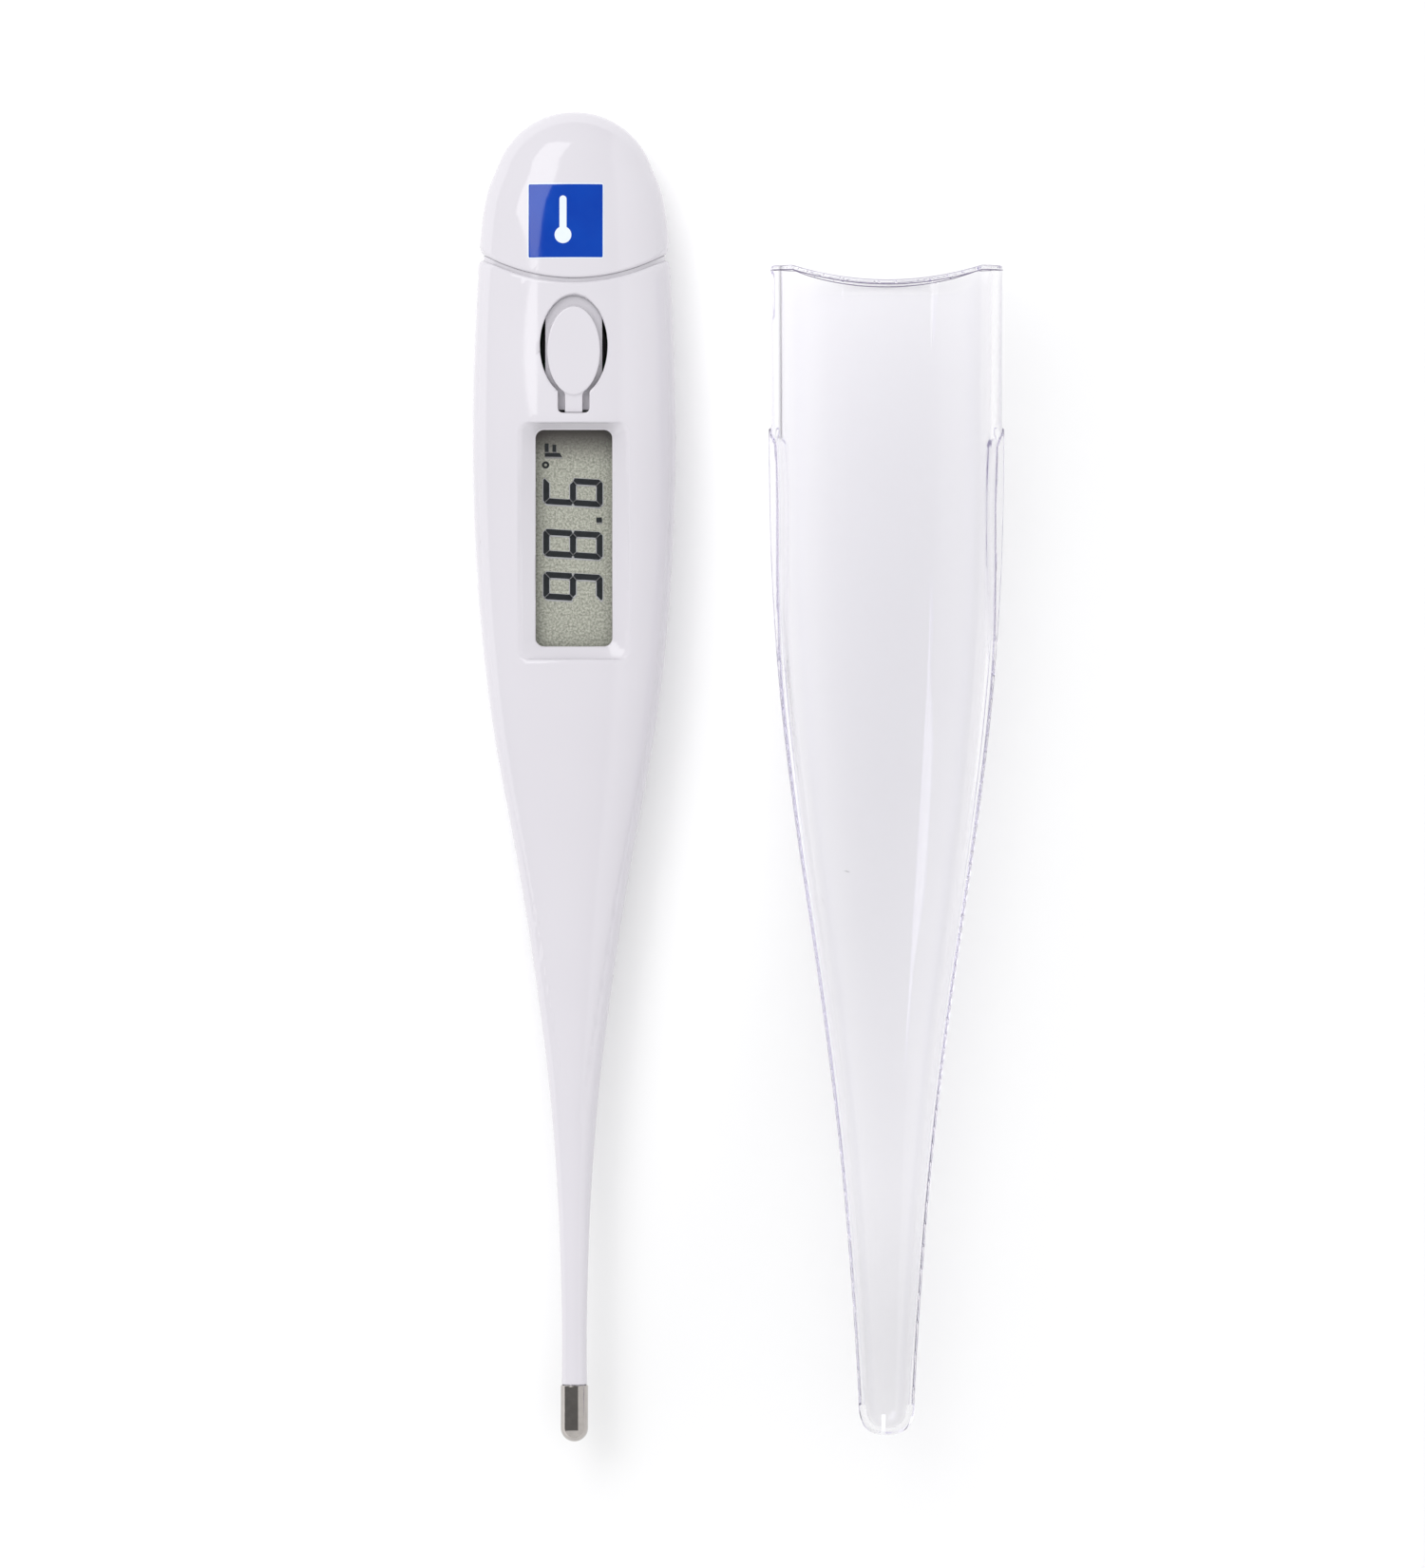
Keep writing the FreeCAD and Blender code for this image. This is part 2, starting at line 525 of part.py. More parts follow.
def probe_inside():
    """Potting, the sensor bead and its two leads, inside the steel cup and the stem's bore."""
    clear = 0.03
    radius = f"sizes.tip_radius - sizes.tip_wall - {clear}"
    turn = "sizes.stem_end_along - 0.02 - sizes.tip_skirt"
    filling = rod("filling", radius, f"sizes.plug_end - {clear} - ({turn})", y=turn, z="sizes.axis_height",
                  along="y")
    cap = doc.addObject("Part::Sphere", "filling_end")
    cap.setExpression("Radius", radius)
    cap.setExpression(".Placement.Base.y", turn)
    cap.setExpression(".Placement.Base.z", "sizes.axis_height")
    hole = doc.addObject("Part::Sphere", "bead_hole")
    bead = doc.addObject("Part::Sphere", "thermistor_bead")
    for ball in (hole, bead):
        ball.setExpression("Radius", "sizes.bead_radius")
        ball.setExpression(".Placement.Base.y", "sizes.bead_place")
        ball.setExpression(".Placement.Base.z", "sizes.axis_height")
    lead_start = "sizes.bead_place + 0.33"
    wires, holes = [], []
    for side, sign in (("left", "-"), ("right", "")):
        place = f"{sign}sizes.lead_spread"
        run = f"sizes.room_a_along + 2 - ({lead_start})"
        wires.append(rod(f"lead_{side}", "sizes.lead_radius", run, place, lead_start, "sizes.axis_height", "y"))
        holes.append(rod(f"lead_hole_{side}", "sizes.lead_radius", run, place, lead_start,
                         "sizes.axis_height", "y"))
    solid = join("potting_solid", filling, cap)
    keep(cut("probe_potting", solid, join("potting_holes", hole, *holes)))
    tool = join("bead_tool", *[rod(f"bead_tool_{side}", "sizes.lead_radius", "2", f"{sign}sizes.lead_spread",
                                   lead_start, "sizes.axis_height", "y")
                               for side, sign in (("left", "-"), ("right", ""))])
    bead.Label = "bead_ball"
    keep(cut("thermistor_bead", bead, tool), "thermistor_bead")
    keep(group("thermistor_leads", *wires))


# ---------------------------------------------------------------- electronics tray
def inner_chassis():
    """The tray that slides into the housing and carries the board and the cell."""
    body = new_body("inner_chassis")
    floor = new_sketch(body, "floor_sketch", lift="sizes.floor_low")
    half = "sizes.tray_half"
    draw_outline(floor, [("-3.1", "-22"), ("3.1", "-22"), (half, "-10"), (half, "19.5"), ("4.5", "20.6"),
                         ("4.5", "27.4"), ("-4.5", "27.4"), ("-4.5", "20.6"), (f"-{half}", "19.5"),
                         (f"-{half}", "-10")])
    pad(body, "floor", floor, "sizes.board_low - sizes.floor_low")
    for side, sign in (("left", -1), ("right", 1)):
        rail = new_sketch(body, f"rail_{side}_sketch", lift="sizes.floor_low")
        inner, outer = f"{sign} * (sizes.board_half + 0.15)", f"{sign} * {half}"
        draw_outline(rail, [(inner, "-10"), (outer, "-10"), (outer, "19.5"), (inner, "19.5")])
        pad(body, f"rail_{side}", rail, "2.3")
    cup = new_sketch(body, "cell_cup_sketch", lift="3.2")
    draw_ellipse(cup, "sizes.cell_radius + 0.7", "sizes.cell_radius + 0.699", "sizes.cell_place")
    pad(body, "cell_cup", cup, "2.6")
    well = new_sketch(body, "cell_well_sketch", lift="3.8")
    draw_ellipse(well, "sizes.cell_radius + 0.08", "sizes.cell_radius + 0.079", "sizes.cell_place")
    pocket(body, "cell_well", well, "4", up=True)
    gap = new_sketch(body, "board_gap_sketch", lift="sizes.board_low")
    draw_rectangle(gap, "2.6", "18", "29.5")
    pocket(body, "contact_gap", gap, "4", up=True)
    vent = new_sketch(body, "buzzer_opening_sketch", lift="2")
    draw_ellipse(vent, "1.6", "1.599", "sizes.buzzer_place")
    pocket(body, "buzzer_opening", vent, "3", up=True)
    return body


def circuit_board():
    body = new_body("circuit_board")
    outline = new_sketch(body, "outline", lift="sizes.board_low")
    half, end = "sizes.board_half", "sizes.board_high_end"
    draw_outline(outline, [("-2.8", "-21.5"), ("2.8", "-21.5"), (half, "-12"), (half, end), (f"-{half}", end),
                           (f"-{half}", "-12")])
    pad(body, "laminate", outline, "sizes.board_thick")
    spring = new_sketch(body, "spring_hole_sketch", lift="sizes.board_low")
    draw_ellipse(spring, "0.8", "0.799", "sizes.buzzer_place")
    pocket(body, "spring_hole", spring, "2", up=True)
    return body


def board_parts():
    """What stands on the board's upper side."""
    top = "sizes.board_low + sizes.board_thick"
    chip = doc.addObject("Part::Ellipsoid", "chip_dome")
    chip.Radius1, chip.Radius2, chip.Radius3 = 1.2, 2.6, 2.6
    chip.Angle1 = 0
    chip.setExpression(".Placement.Base.y", "-2")
    chip.setExpression(".Placement.Base.z", top)
    keep(chip, "chip_blob")
    places = [(-2.1, 13.4), (0.0, 13.4), (2.1, 13.4), (-2.6, -13.6), (0.2, -13.6), (2.4, -13.6), (-1.0, -16.2)]
    chips = [block(f"chip_part_{number}", (f"{x} - 0.5", f"{x} + 0.5"), (f"{y} - 0.25", f"{y} + 0.25"),
                   (top, f"{top} + 0.45")) for number, (x, y) in enumerate(places)]
    keep(group("surface_components", *chips))
    for side, sign in (("left", -1), ("right", 1)):
        low, high = sorted((sign * 3.95, sign * 4.75))
        keep(block(f"display_connector_{side}", (str(low), str(high)),
                   ("-sizes.glass_long + 0.6", "sizes.glass_long - 0.6"), (top, "sizes.glass_low")))
    pads = [rod(f"solder_{side}", "0.4", "0.3", x, "-20.3", top) for side, x in (("left", "-0.9"), ("right", "0.9"))]
    keep(group("solder_joints", *pads))


def display_stack():
    """The liquid-crystal cell: two glasses, a polariser in front and a reflecting one behind."""
    half, long = "sizes.glass_half", "sizes.glass_long"
    base = "sizes.glass_low"
    rear = base
    front = f"{base} + sizes.glass_thick"
    upper = f"{base} + 2 * sizes.glass_thick"
    keep(block("display_reflector", (f"-{half} + 1.1", f"{half} - 1.1"), (f"-{long} + 0.4", f"{long} - 0.4"),
               (f"{base} - 0.15", base)))
    keep(block("display_rear_glass", (f"-{half}", half), (f"-{long}", long), (rear, front)))
    keep(block("display_front_glass", (f"-{half} + 0.4", f"{half} - 0.4"), (f"-{long} + 0.2", f"{long} - 0.2"),
               (front, upper)))
    keep(block("display_polariser", (f"-{half} + 0.6", f"{half} - 0.6"), (f"-{long} + 0.4", f"{long} - 0.4"),
               (upper, f"{upper} + 0.15")))
    top = "sizes.board_low + sizes.board_thick"
    frame = block("retainer_outside", ("-sizes.board_half", "sizes.board_half"), (f"-{long} - 0.6", f"{long} + 0.6"),
                  (top, "6.15"))
    room = block("retainer_inside", (f"-{half} - 0.05", f"{half} + 0.05"), (f"-{long} - 0.05", f"{long} + 0.05"),
                 ("4", "7"))
    keep(cut("display_retainer", frame, room))


def key_switch():
    """The rubber pad under the key, hollow underneath, with its carbon pill."""
    top = "sizes.board_low + sizes.board_thick"
    body = new_body("switch_pad")
    foot = new_sketch(body, "foot_sketch", lift=top)
    draw_ellipse(foot, "2.6", "2.8", "sizes.key_place")
    pad(body, "foot", foot, "2.9")
    table = new_sketch(body, "table_sketch", lift="7.0")
    draw_ellipse(table, "3.1", "3.4", "sizes.key_place")
    pad(body, "table", table, "0.8")
    room = new_sketch(body, "room_sketch", lift=top)
    draw_ellipse(room, "1.9", "2.1", "sizes.key_place")
    pocket(body, "room", room, "1.0", up=True)
    keep(body)
    keep(rod("switch_contact", "1.2", "0.4", y="sizes.key_place", z=f"{top} + 0.6"))


def power_cell():
    """The button cell with its stepped can, and its two leaf contacts."""
    can = rod("cell_can", "sizes.cell_radius", "sizes.cell_thick - 0.35", y="sizes.cell_place",
              z="sizes.cell_low + 0.35")
    face = rod("cell_face", "sizes.cell_radius - 0.7", "0.6", y="sizes.cell_place", z="sizes.cell_low")
    keep(join("battery_cell", can, face))
    top = "sizes.board_low + sizes.board_thick"
    leaf = block("minus_leaf", ("-1", "1"), ("23.2", "31.5"), ("sizes.cell_low - 0.2", "sizes.cell_low"))
    board_end = block("minus_board_room", ("-3", "3"), ("20", "sizes.board_high_end + 0.1"), ("3", top))
    riser = block("minus_riser", ("-1", "1"), ("sizes.board_high_end + 0.1", "sizes.board_high_end + 0.3"),
                  ("sizes.cell_low - 0.2", f"{top} + 0.2"))
    foot = block("minus_foot", ("-1", "1"), ("23.4", "sizes.board_high_end + 0.3"), (top, f"{top} + 0.2"))
    keep(join("battery_contact_minus", cut("minus_strip", leaf, board_end), riser, foot))
    cell_top = "sizes.cell_low + sizes.cell_thick"
    arm = block("plus_arm", ("1", "3"), ("25.9", "31"), (cell_top, f"{cell_top} + 0.2"))
    post = block("plus_post", ("1", "3"), ("25.9", "26.1"), (top, f"{cell_top} + 0.2"))
    heel = block("plus_heel", ("1", "3"), ("23.6", "26.1"), (top, f"{top} + 0.2"))
    keep(join("battery_contact_plus", arm, post, heel))


def buzzer():
    """The piezo disc on the housing's back, and the coil spring that feeds it from the board."""
    low = "sizes.buzzer_low"
    keep(rod("buzzer_disc", "sizes.buzzer_radius", "0.2", y="sizes.buzzer_place", z=low))
    keep(rod("buzzer_ceramic", "sizes.buzzer_radius - 1.5", "0.15", y="sizes.buzzer_place", z=f"{low} + 0.2"))
    wire, coil, turns = 0.11, 0.5, 5.0
    start = size(f"{low} + 0.35") + 0.05 + wire
    height = size("sizes.board_low + sizes.board_thick") - start
    helix = Part.makeHelix(height / turns, height, coil)
    section = Part.Wire([Part.makeCircle(wire, Vector(coil, 0, 0), Vector(0, 1, 0))])
    spring = doc.addObject("Part::Feature", "buzzer_spring")
    spring.Shape = Part.Wire(helix).makePipeShell([section], True, True)
    spring.Placement = Placement(Vector(0, size("sizes.buzzer_place"), start), Rotation())
    keep(spring)


# ---------------------------------------------------------------- storage case
def storage_case():
    """The clear slip-on case: a deep tapering pocket with a dipped mouth and a round end."""
    body = new_body("storage_case")
    rise = "sizes.case_axis_height"
    loft(body, "AdditiveLoft", "outside", CASE_OUTSIDE, rise)
    end = body.newObject("PartDesign::AdditiveEllipsoid", "round_end")
    plane = next(item for item in body.Origin.OriginFeatures if item.Role == "XZ_Plane")
    end.AttachmentSupport = (plane, [""])
    end.MapMode = "FlatFace"
    end.setExpression(".AttachmentOffset.Base.y", rise)
    end.setExpression(".AttachmentOffset.Base.z", "-sizes.case_end_along")
    end.setExpression("Radius1", "sizes.case_end_length")
    end.setExpression("Radius2", "sizes.case_end_wide")
    end.setExpression("Radius3", "sizes.case_end_thick")
    end.Angle1 = 0
    end.Angle2 = 90
    doc.recompute()
    loft(body, "SubtractiveLoft", "hollow", CASE_INSIDE, rise)
    cut_dip(body)
    body.setExpression(".Placement.Base.x", "sizes.case_offset")
    return body


def cut_dip(body):
    """The mouth's shallow dip on the upper and lower side."""
    sketch = new_sketch(body, "dip_sketch")
    r, low = size("sizes.case_dip_radius"), size("sizes.case_dip")
    circle = sketch.addGeometry(Part.Circle(Vector(0, low + r, 0), Vector(0, 0, 1), r))
    sketch.addConstraint(Sketcher.Constraint("PointOnObject", circle, 3, -2))
    tie(sketch, Sketcher.Constraint("Radius", circle, r), "sizes.case_dip_radius")
    tie(sketch, Sketcher.Constraint("DistanceY", -1, 1, circle, 3, low + r),
        "sizes.case_dip + sizes.case_dip_radius")
    before = body.Shape.Volume
    feature = body.newObject("PartDesign::Pocket", "mouth_dip")
    feature.Profile = sketch
    feature.Type = "ThroughAll"
    feature.Midplane = True
    doc.recompute()
    if body.Shape.Volume >= before:
        raise RuntimeError("the mouth dip removed nothing")


# ---------------------------------------------------------------- build
UPPER_STATIONS = ("belly", "neckline", "cap_a", "cap_b", "cap_c", "cap_d")

keep(main_housing())
keep(display_lens())
keep(power_button())
keep(battery_cap())
keep(probe_tip_cap())
probe_inside()
keep(inner_chassis())
keep(circuit_board())
board_parts()
display_stack()
key_switch()
power_cell()
buzzer()
keep(storage_case())
doc.recompute()

for item in doc.Objects:
    if "Invalid" in item.State or "Error" in item.State:
        raise RuntimeError(f"{item.Label} failed: {item.State}")
for item in made:
    if item.Shape.isNull() or not item.Shape.isValid() or not item.Shape.Solids:
        raise RuntimeError(f"{item.Label} has no valid shape")

os.makedirs("parts", exist_ok=True)
for item in made:
    item.Shape.exportStep(f"parts/{item.Label}.step")
    box = item.Shape.optimalBoundingBox()
    print(f"{item.Label:24s} solids {len(item.Shape.Solids)}  volume {item.Shape.Volume:9.3f}  "
          f"x {box.XMin:7.2f} {box.XMax:7.2f}  y {box.YMin:7.2f} {box.YMax:7.2f}  z {box.ZMin:6.2f} {box.ZMax:6.2f}")
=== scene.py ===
"""Looks for a digital stick thermometer that lies beside its clear case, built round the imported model.

Lengths are millimetres unless a name or a line says otherwise; MM turns them into Blender's metres.
"""

import math

import bpy
import numpy as np
import openvdb
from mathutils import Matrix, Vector
from mathutils.bvhtree import BVHTree


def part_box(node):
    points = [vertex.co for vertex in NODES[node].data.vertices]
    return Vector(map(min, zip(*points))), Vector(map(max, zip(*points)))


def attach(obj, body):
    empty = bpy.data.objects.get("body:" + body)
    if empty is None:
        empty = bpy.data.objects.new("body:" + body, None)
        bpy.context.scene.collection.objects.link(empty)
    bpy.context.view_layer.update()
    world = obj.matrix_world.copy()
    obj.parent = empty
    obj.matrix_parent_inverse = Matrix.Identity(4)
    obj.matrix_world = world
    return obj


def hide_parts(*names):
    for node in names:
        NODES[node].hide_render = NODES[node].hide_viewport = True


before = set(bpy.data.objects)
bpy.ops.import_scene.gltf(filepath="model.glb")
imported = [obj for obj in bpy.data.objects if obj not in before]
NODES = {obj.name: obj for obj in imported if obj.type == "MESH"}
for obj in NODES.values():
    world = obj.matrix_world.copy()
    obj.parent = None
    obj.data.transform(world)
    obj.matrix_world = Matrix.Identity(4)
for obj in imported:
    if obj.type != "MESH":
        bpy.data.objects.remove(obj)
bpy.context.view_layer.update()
MM = 0.001
TINY = 1e-6


def mm_box(node):
    """A node's box in millimetres, as two arrays."""
    low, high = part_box(node)
    return np.array(low) / MM, np.array(high) / MM


# ---------------------------------------------------------------- shader building blocks
def feed(tree, source, place):
    """Joins an output to an input, or sets the input to a plain value."""
    if isinstance(source, bpy.types.NodeSocket):
        tree.links.new(source, place)
    else:
        place.default_value = source


def new_material(name):
    material = bpy.data.materials.new(name)
    material.use_nodes = True
    tree = material.node_tree
    return material, tree, tree.nodes["Principled BSDF"]


def object_place(tree):
    """The object's own coordinates."""
    return tree.nodes.new("ShaderNodeTexCoord").outputs["Object"]


def split(tree, vector):
    """The X, Y and Z outputs of a vector."""
    parts = tree.nodes.new("ShaderNodeSeparateXYZ")
    tree.links.new(vector, parts.inputs["Vector"])
    return parts.outputs


def noise(tree, scale, detail=3.0, rough=0.5):
    """A noise over the object's own coordinates; scale counts features per millimetre."""
    made = tree.nodes.new("ShaderNodeTexNoise")
    made.inputs["Scale"].default_value = scale / MM
    made.inputs["Detail"].default_value = detail
    made.inputs["Roughness"].default_value = rough
    tree.links.new(object_place(tree), made.inputs["Vector"])
    return made.outputs["Fac"]


def ramp(tree, source, low, high, start=0.3, end=0.7):
    """Turns a 0 to 1 value into a colour or grey between low and high."""
    made = tree.nodes.new("ShaderNodeValToRGB")
    for element, place, value in zip(made.color_ramp.elements, (start, end), (low, high)):
        element.position = place
        element.color = (*value, 1) if isinstance(value, tuple) else (value, value, value, 1)
    tree.links.new(source, made.inputs["Fac"])
    return made.outputs["Color"]


def mixed(tree, amount, low, high):
    """A colour between two, by a number from 0 to 1."""
    made = tree.nodes.new("ShaderNodeMix")
    made.data_type = "RGBA"
    places = [place for place in made.inputs if place.type == "RGBA"]
    for source, place in zip((low, high), places):
        feed(tree, (*source, 1) if isinstance(source, tuple) else source, place)
    tree.links.new(amount, made.inputs["Factor"])
    return next(place for place in made.outputs if place.type == "RGBA")


def maths(tree, kind, *sources, clamp=False):
    """A sum over numbers and outputs."""
    made = tree.nodes.new("ShaderNodeMath")
    made.operation = kind
    made.use_clamp = clamp
    for source, place in zip(sources, made.inputs):
        feed(tree, source, place)
    return made.outputs["Value"]


def eased(tree, source, start, end, low=0.0, high=1.0):
    """Goes smoothly from low to high while the source goes from start to end."""
    made = tree.nodes.new("ShaderNodeMapRange")
    made.interpolation_type = "SMOOTHSTEP"
    for name, value in (("Value", source), ("From Min", start), ("From Max", end), ("To Min", low),
                        ("To Max", high)):
        feed(tree, value, made.inputs[name])
    return made.outputs["Result"]


def blend_shaders(tree, amount, first, second):
    """Sends a mix of two shaders to the material's surface."""
    mix = tree.nodes.new("ShaderNodeMixShader")
    for source, place in zip((amount, first.outputs["BSDF"], second.outputs["BSDF"]), mix.inputs):
        tree.links.new(source, place)
    tree.links.new(mix.outputs["Shader"], tree.nodes["Material Output"].inputs["Surface"])


def bumped(tree, shader, source, height, strength=1.0):
    made = tree.nodes.new("ShaderNodeBump")
    made.inputs["Strength"].default_value = strength
    made.inputs["Distance"].default_value = height * MM
    tree.links.new(source, made.inputs["Height"])
    tree.links.new(made.outputs["Normal"], shader.inputs["Normal"])


# ---------------------------------------------------------------- materials
def solid_material(name, low, high, rough, scale, bump=0.0, bump_scale=6.0, metallic=0.0):
    """An opaque material: a mottled colour, roughness that varies, and a fine bump."""
    material, tree, shader = new_material(name)
    tree.links.new(ramp(tree, noise(tree, scale), low, high), shader.inputs["Base Color"])
    wear = ramp(tree, noise(tree, scale * 4, 5.0), *rough, 0.35, 0.75)
    tree.links.new(wear, shader.inputs["Roughness"])
    if bump:
        bumped(tree, shader, noise(tree, bump_scale, 4.0), bump)
    shader.inputs["Metallic"].default_value = metallic
    return material


def print_and_painted_light_layer(name, low, high, scale, rough, rough_scale):
    """A thin flat layer, for the printed marks and for the painted shadows and painted halo beside them: a
    mottled colour and roughness that varies, with no bump.
    """
    material, tree, shader = new_material(name)
    tree.links.new(ramp(tree, noise(tree, scale), low, high), shader.inputs["Base Color"])
    tree.links.new(ramp(tree, noise(tree, rough_scale), *rough), shader.inputs["Roughness"])
    return material


def window_material(name):
    """A thin clear window: it lets lamps through, and its outer faces shine more at a glancing angle."""
    material, tree, shader = new_material(name)
    tree.nodes.remove(shader)
    clear = tree.nodes.new("ShaderNodeBsdfTransparent")
    clear.inputs["Color"].default_value = (0.99, 0.99, 0.985, 1)
    shine = tree.nodes.new("ShaderNodeBsdfGlossy")
    tree.links.new(ramp(tree, noise(tree, 0.5, 4.0), 0.02, 0.05), shine.inputs["Roughness"])
    angle = tree.nodes.new("ShaderNodeFresnel")
    angle.inputs["IOR"].default_value = 1.49
    side = tree.nodes.new("ShaderNodeNewGeometry")
    outer = maths(tree, "SUBTRACT", 1.0, side.outputs["Backfacing"])
    blend_shaders(tree, maths(tree, "MULTIPLY", angle.outputs["Fac"], outer), clear, shine)
    return material


CLEAR_TINT = (0.976, 0.973, 0.981)
CLEAR_IOR = 1.38
# Painted shade: the case's tint darkens towards its narrow end between these two places along y.
END_PAINTED_SHADE, END_FADE_FROM, END_FADE_TO = 0.938, -60, -79
# The trapped tint is painted shade, darkening the case's edge lines to lavender.
LAMP_TINT, TRAPPED_PAINTED_SHADE = (0.93, 0.928, 0.936), (0.76, 0.73, 0.87)
WALL_CROSSINGS = 4.5


def moulding_material(name):
    """A solid clear plastic, its tint darkened towards its narrow end as painted shade.

    It bends what is behind it. Lamp light goes straight through, and so does a ray that is trapped in
    the wall, which takes a darker lavender tint: painted shade for the case's edge lines.
    """
    material, tree, shader = new_material(name)
    shader.inputs["IOR"].default_value = CLEAR_IOR
    shader.inputs["Transmission Weight"].default_value = 1.0
    # Painted shade: the tint darkens towards the narrow end.
    along = eased(tree, split(tree, object_place(tree))["Y"], END_FADE_FROM * MM, END_FADE_TO * MM)
    tone = mixed(tree, along, CLEAR_TINT, tuple(END_PAINTED_SHADE * v for v in CLEAR_TINT))
    tree.links.new(tone, shader.inputs["Base Color"])
    tree.links.new(ramp(tree, noise(tree, 0.6, 4.0), 0.0, 0.03), shader.inputs["Roughness"])
    bumped(tree, shader, noise(tree, 0.25, 2.0), 0.004, 0.35)
    path = tree.nodes.new("ShaderNodeLightPath").outputs
    lamp = maths(tree, "MAXIMUM", path["Is Shadow Ray"], path["Is Diffuse Ray"])
    trapped = maths(tree, "GREATER_THAN", path["Ray Depth"], WALL_CROSSINGS)
    clear = tree.nodes.new("ShaderNodeBsdfTransparent")
    # Painted shade: rays trapped in the wall, but not lamp rays, take the darker lavender tint.
    edge_painted_shade = maths(tree, "SUBTRACT", trapped, lamp, clamp=True)
    tree.links.new(mixed(tree, edge_painted_shade, LAMP_TINT, TRAPPED_PAINTED_SHADE), clear.inputs["Color"])
    blend_shaders(tree, maths(tree, "MAXIMUM", lamp, trapped), shader, clear)
    return material


def polariser_material(name):
    """The display's face: a fine speckle, with a painted shadow in a dim brown along the far and the left
    edge, where the window's frame shades it.
    """
    material, tree, shader = new_material(name)
    speckle = ramp(tree, noise(tree, 4.6, 3.0, 0.7), (0.19, 0.196, 0.166), (0.45, 0.456, 0.398), 0.36, 0.64)
    parts = split(tree, object_place(tree))
    # Painted shadow: the face darkens to a dim brown along its far and left edges, standing for the window
    # frame's shadow.
    far_painted_shadow = eased(tree, parts["Y"], 6.6 * MM, 10.5 * MM)
    left_painted_shadow = eased(tree, parts["X"], -3.25 * MM, -4.7 * MM)
    painted_shadow = maths(tree, "MAXIMUM", far_painted_shadow, left_painted_shadow)
    tree.links.new(mixed(tree, painted_shadow, speckle, (0.075, 0.066, 0.062)), shader.inputs["Base Color"])
    tree.links.new(ramp(tree, noise(tree, 9.0), 0.45, 0.6), shader.inputs["Roughness"])
    bumped(tree, shader, noise(tree, 6.0, 3.0), 0.006)
    return material


# Two colours, the two ends of the roughness, the mottle's scale, the bump's height and scale, and metallic.
SOLID_MATERIALS = {
    "lavender_white_abs": ((0.515, 0.5, 0.535), (0.53, 0.515, 0.55), (0.06, 0.1), 0.05, 0.0012, 2.5),
    "polished_steel": ((0.44, 0.415, 0.395), (0.5, 0.47, 0.445), (0.06, 0.14), 1.5, 0.002, 4.0, 1.0),
    "epoxy": ((0.55, 0.45, 0.25), (0.62, 0.52, 0.32), (0.2, 0.35), 1.0, 0.004),
    "glass_bead": ((0.05, 0.035, 0.03), (0.1, 0.07, 0.05), (0.1, 0.2), 3.0, 0.001),
    "tinned_copper": ((0.55, 0.52, 0.47), (0.68, 0.64, 0.58), (0.22, 0.38), 2.0, 0.003, 8.0, 1.0),
    "grey_abs": ((0.44, 0.44, 0.46), (0.5, 0.5, 0.52), (0.4, 0.55), 0.4, 0.01, 5.0),
    "board_laminate": ((0.02, 0.13, 0.05), (0.03, 0.19, 0.075), (0.3, 0.45), 0.8, 0.008, 4.0),
    "black_epoxy": ((0.012, 0.012, 0.013), (0.022, 0.022, 0.024), (0.15, 0.3), 0.8, 0.01, 2.0),
    "component_bodies": ((0.2, 0.14, 0.09), (0.3, 0.22, 0.15), (0.35, 0.5), 1.2, 0.006),
    "connector_rubber": ((0.35, 0.14, 0.16), (0.42, 0.18, 0.2), (0.5, 0.65), 1.0, 0.012),
    "solder": ((0.62, 0.61, 0.6), (0.75, 0.74, 0.72), (0.2, 0.35), 2.0, 0.01, 4.0, 1.0),
    "reflector_film": ((0.6, 0.61, 0.58), (0.7, 0.71, 0.67), (0.35, 0.5), 2.0, 0.006, 10.0, 0.7),
    "display_glass": ((0.3, 0.34, 0.3), (0.34, 0.38, 0.34), (0.05, 0.1), 0.5),
    "black_rubber": ((0.015, 0.015, 0.016), (0.03, 0.03, 0.032), (0.5, 0.7), 1.0, 0.012),
    "carbon_pill": ((0.01, 0.01, 0.01), (0.02, 0.02, 0.02), (0.6, 0.8), 2.0, 0.01),
    "cell_steel": ((0.6, 0.6, 0.61), (0.68, 0.68, 0.69), (0.18, 0.32), 1.0, 0.004, 6.0, 1.0),
    "contact_metal": ((0.66, 0.6, 0.45), (0.74, 0.68, 0.54), (0.2, 0.35), 1.5, 0.004, 6.0, 1.0),
    "brass_disc": ((0.65, 0.47, 0.2), (0.75, 0.56, 0.27), (0.25, 0.4), 1.0, 0.004, 6.0, 1.0),
    "piezo_ceramic": ((0.62, 0.6, 0.54), (0.7, 0.68, 0.62), (0.35, 0.5), 1.5, 0.006),
}
MATERIALS = {name: solid_material(name, *values) for name, values in SOLID_MATERIALS.items()}
for name, build in (("clear_window", window_material), ("polariser_film", polariser_material),
                    ("clear_plastic", moulding_material)):
    MATERIALS[name] = build(name)
MOULDING = "lavender_white_abs"
MATERIALS[MOULDING].node_tree.nodes["Principled BSDF"].inputs["IOR"].default_value = 1.5

LABEL_BLUE = solid_material("label_blue", (0.0, 0.033, 0.29), (0.0, 0.041, 0.32), (0.07, 0.12),
                            0.3, 0.001, 3.0)
LABEL_WHITE = solid_material("label_white", (0.58, 0.63, 0.69), (0.61, 0.66, 0.71), (0.08, 0.14),
                             0.6, 0.001, 4.0)
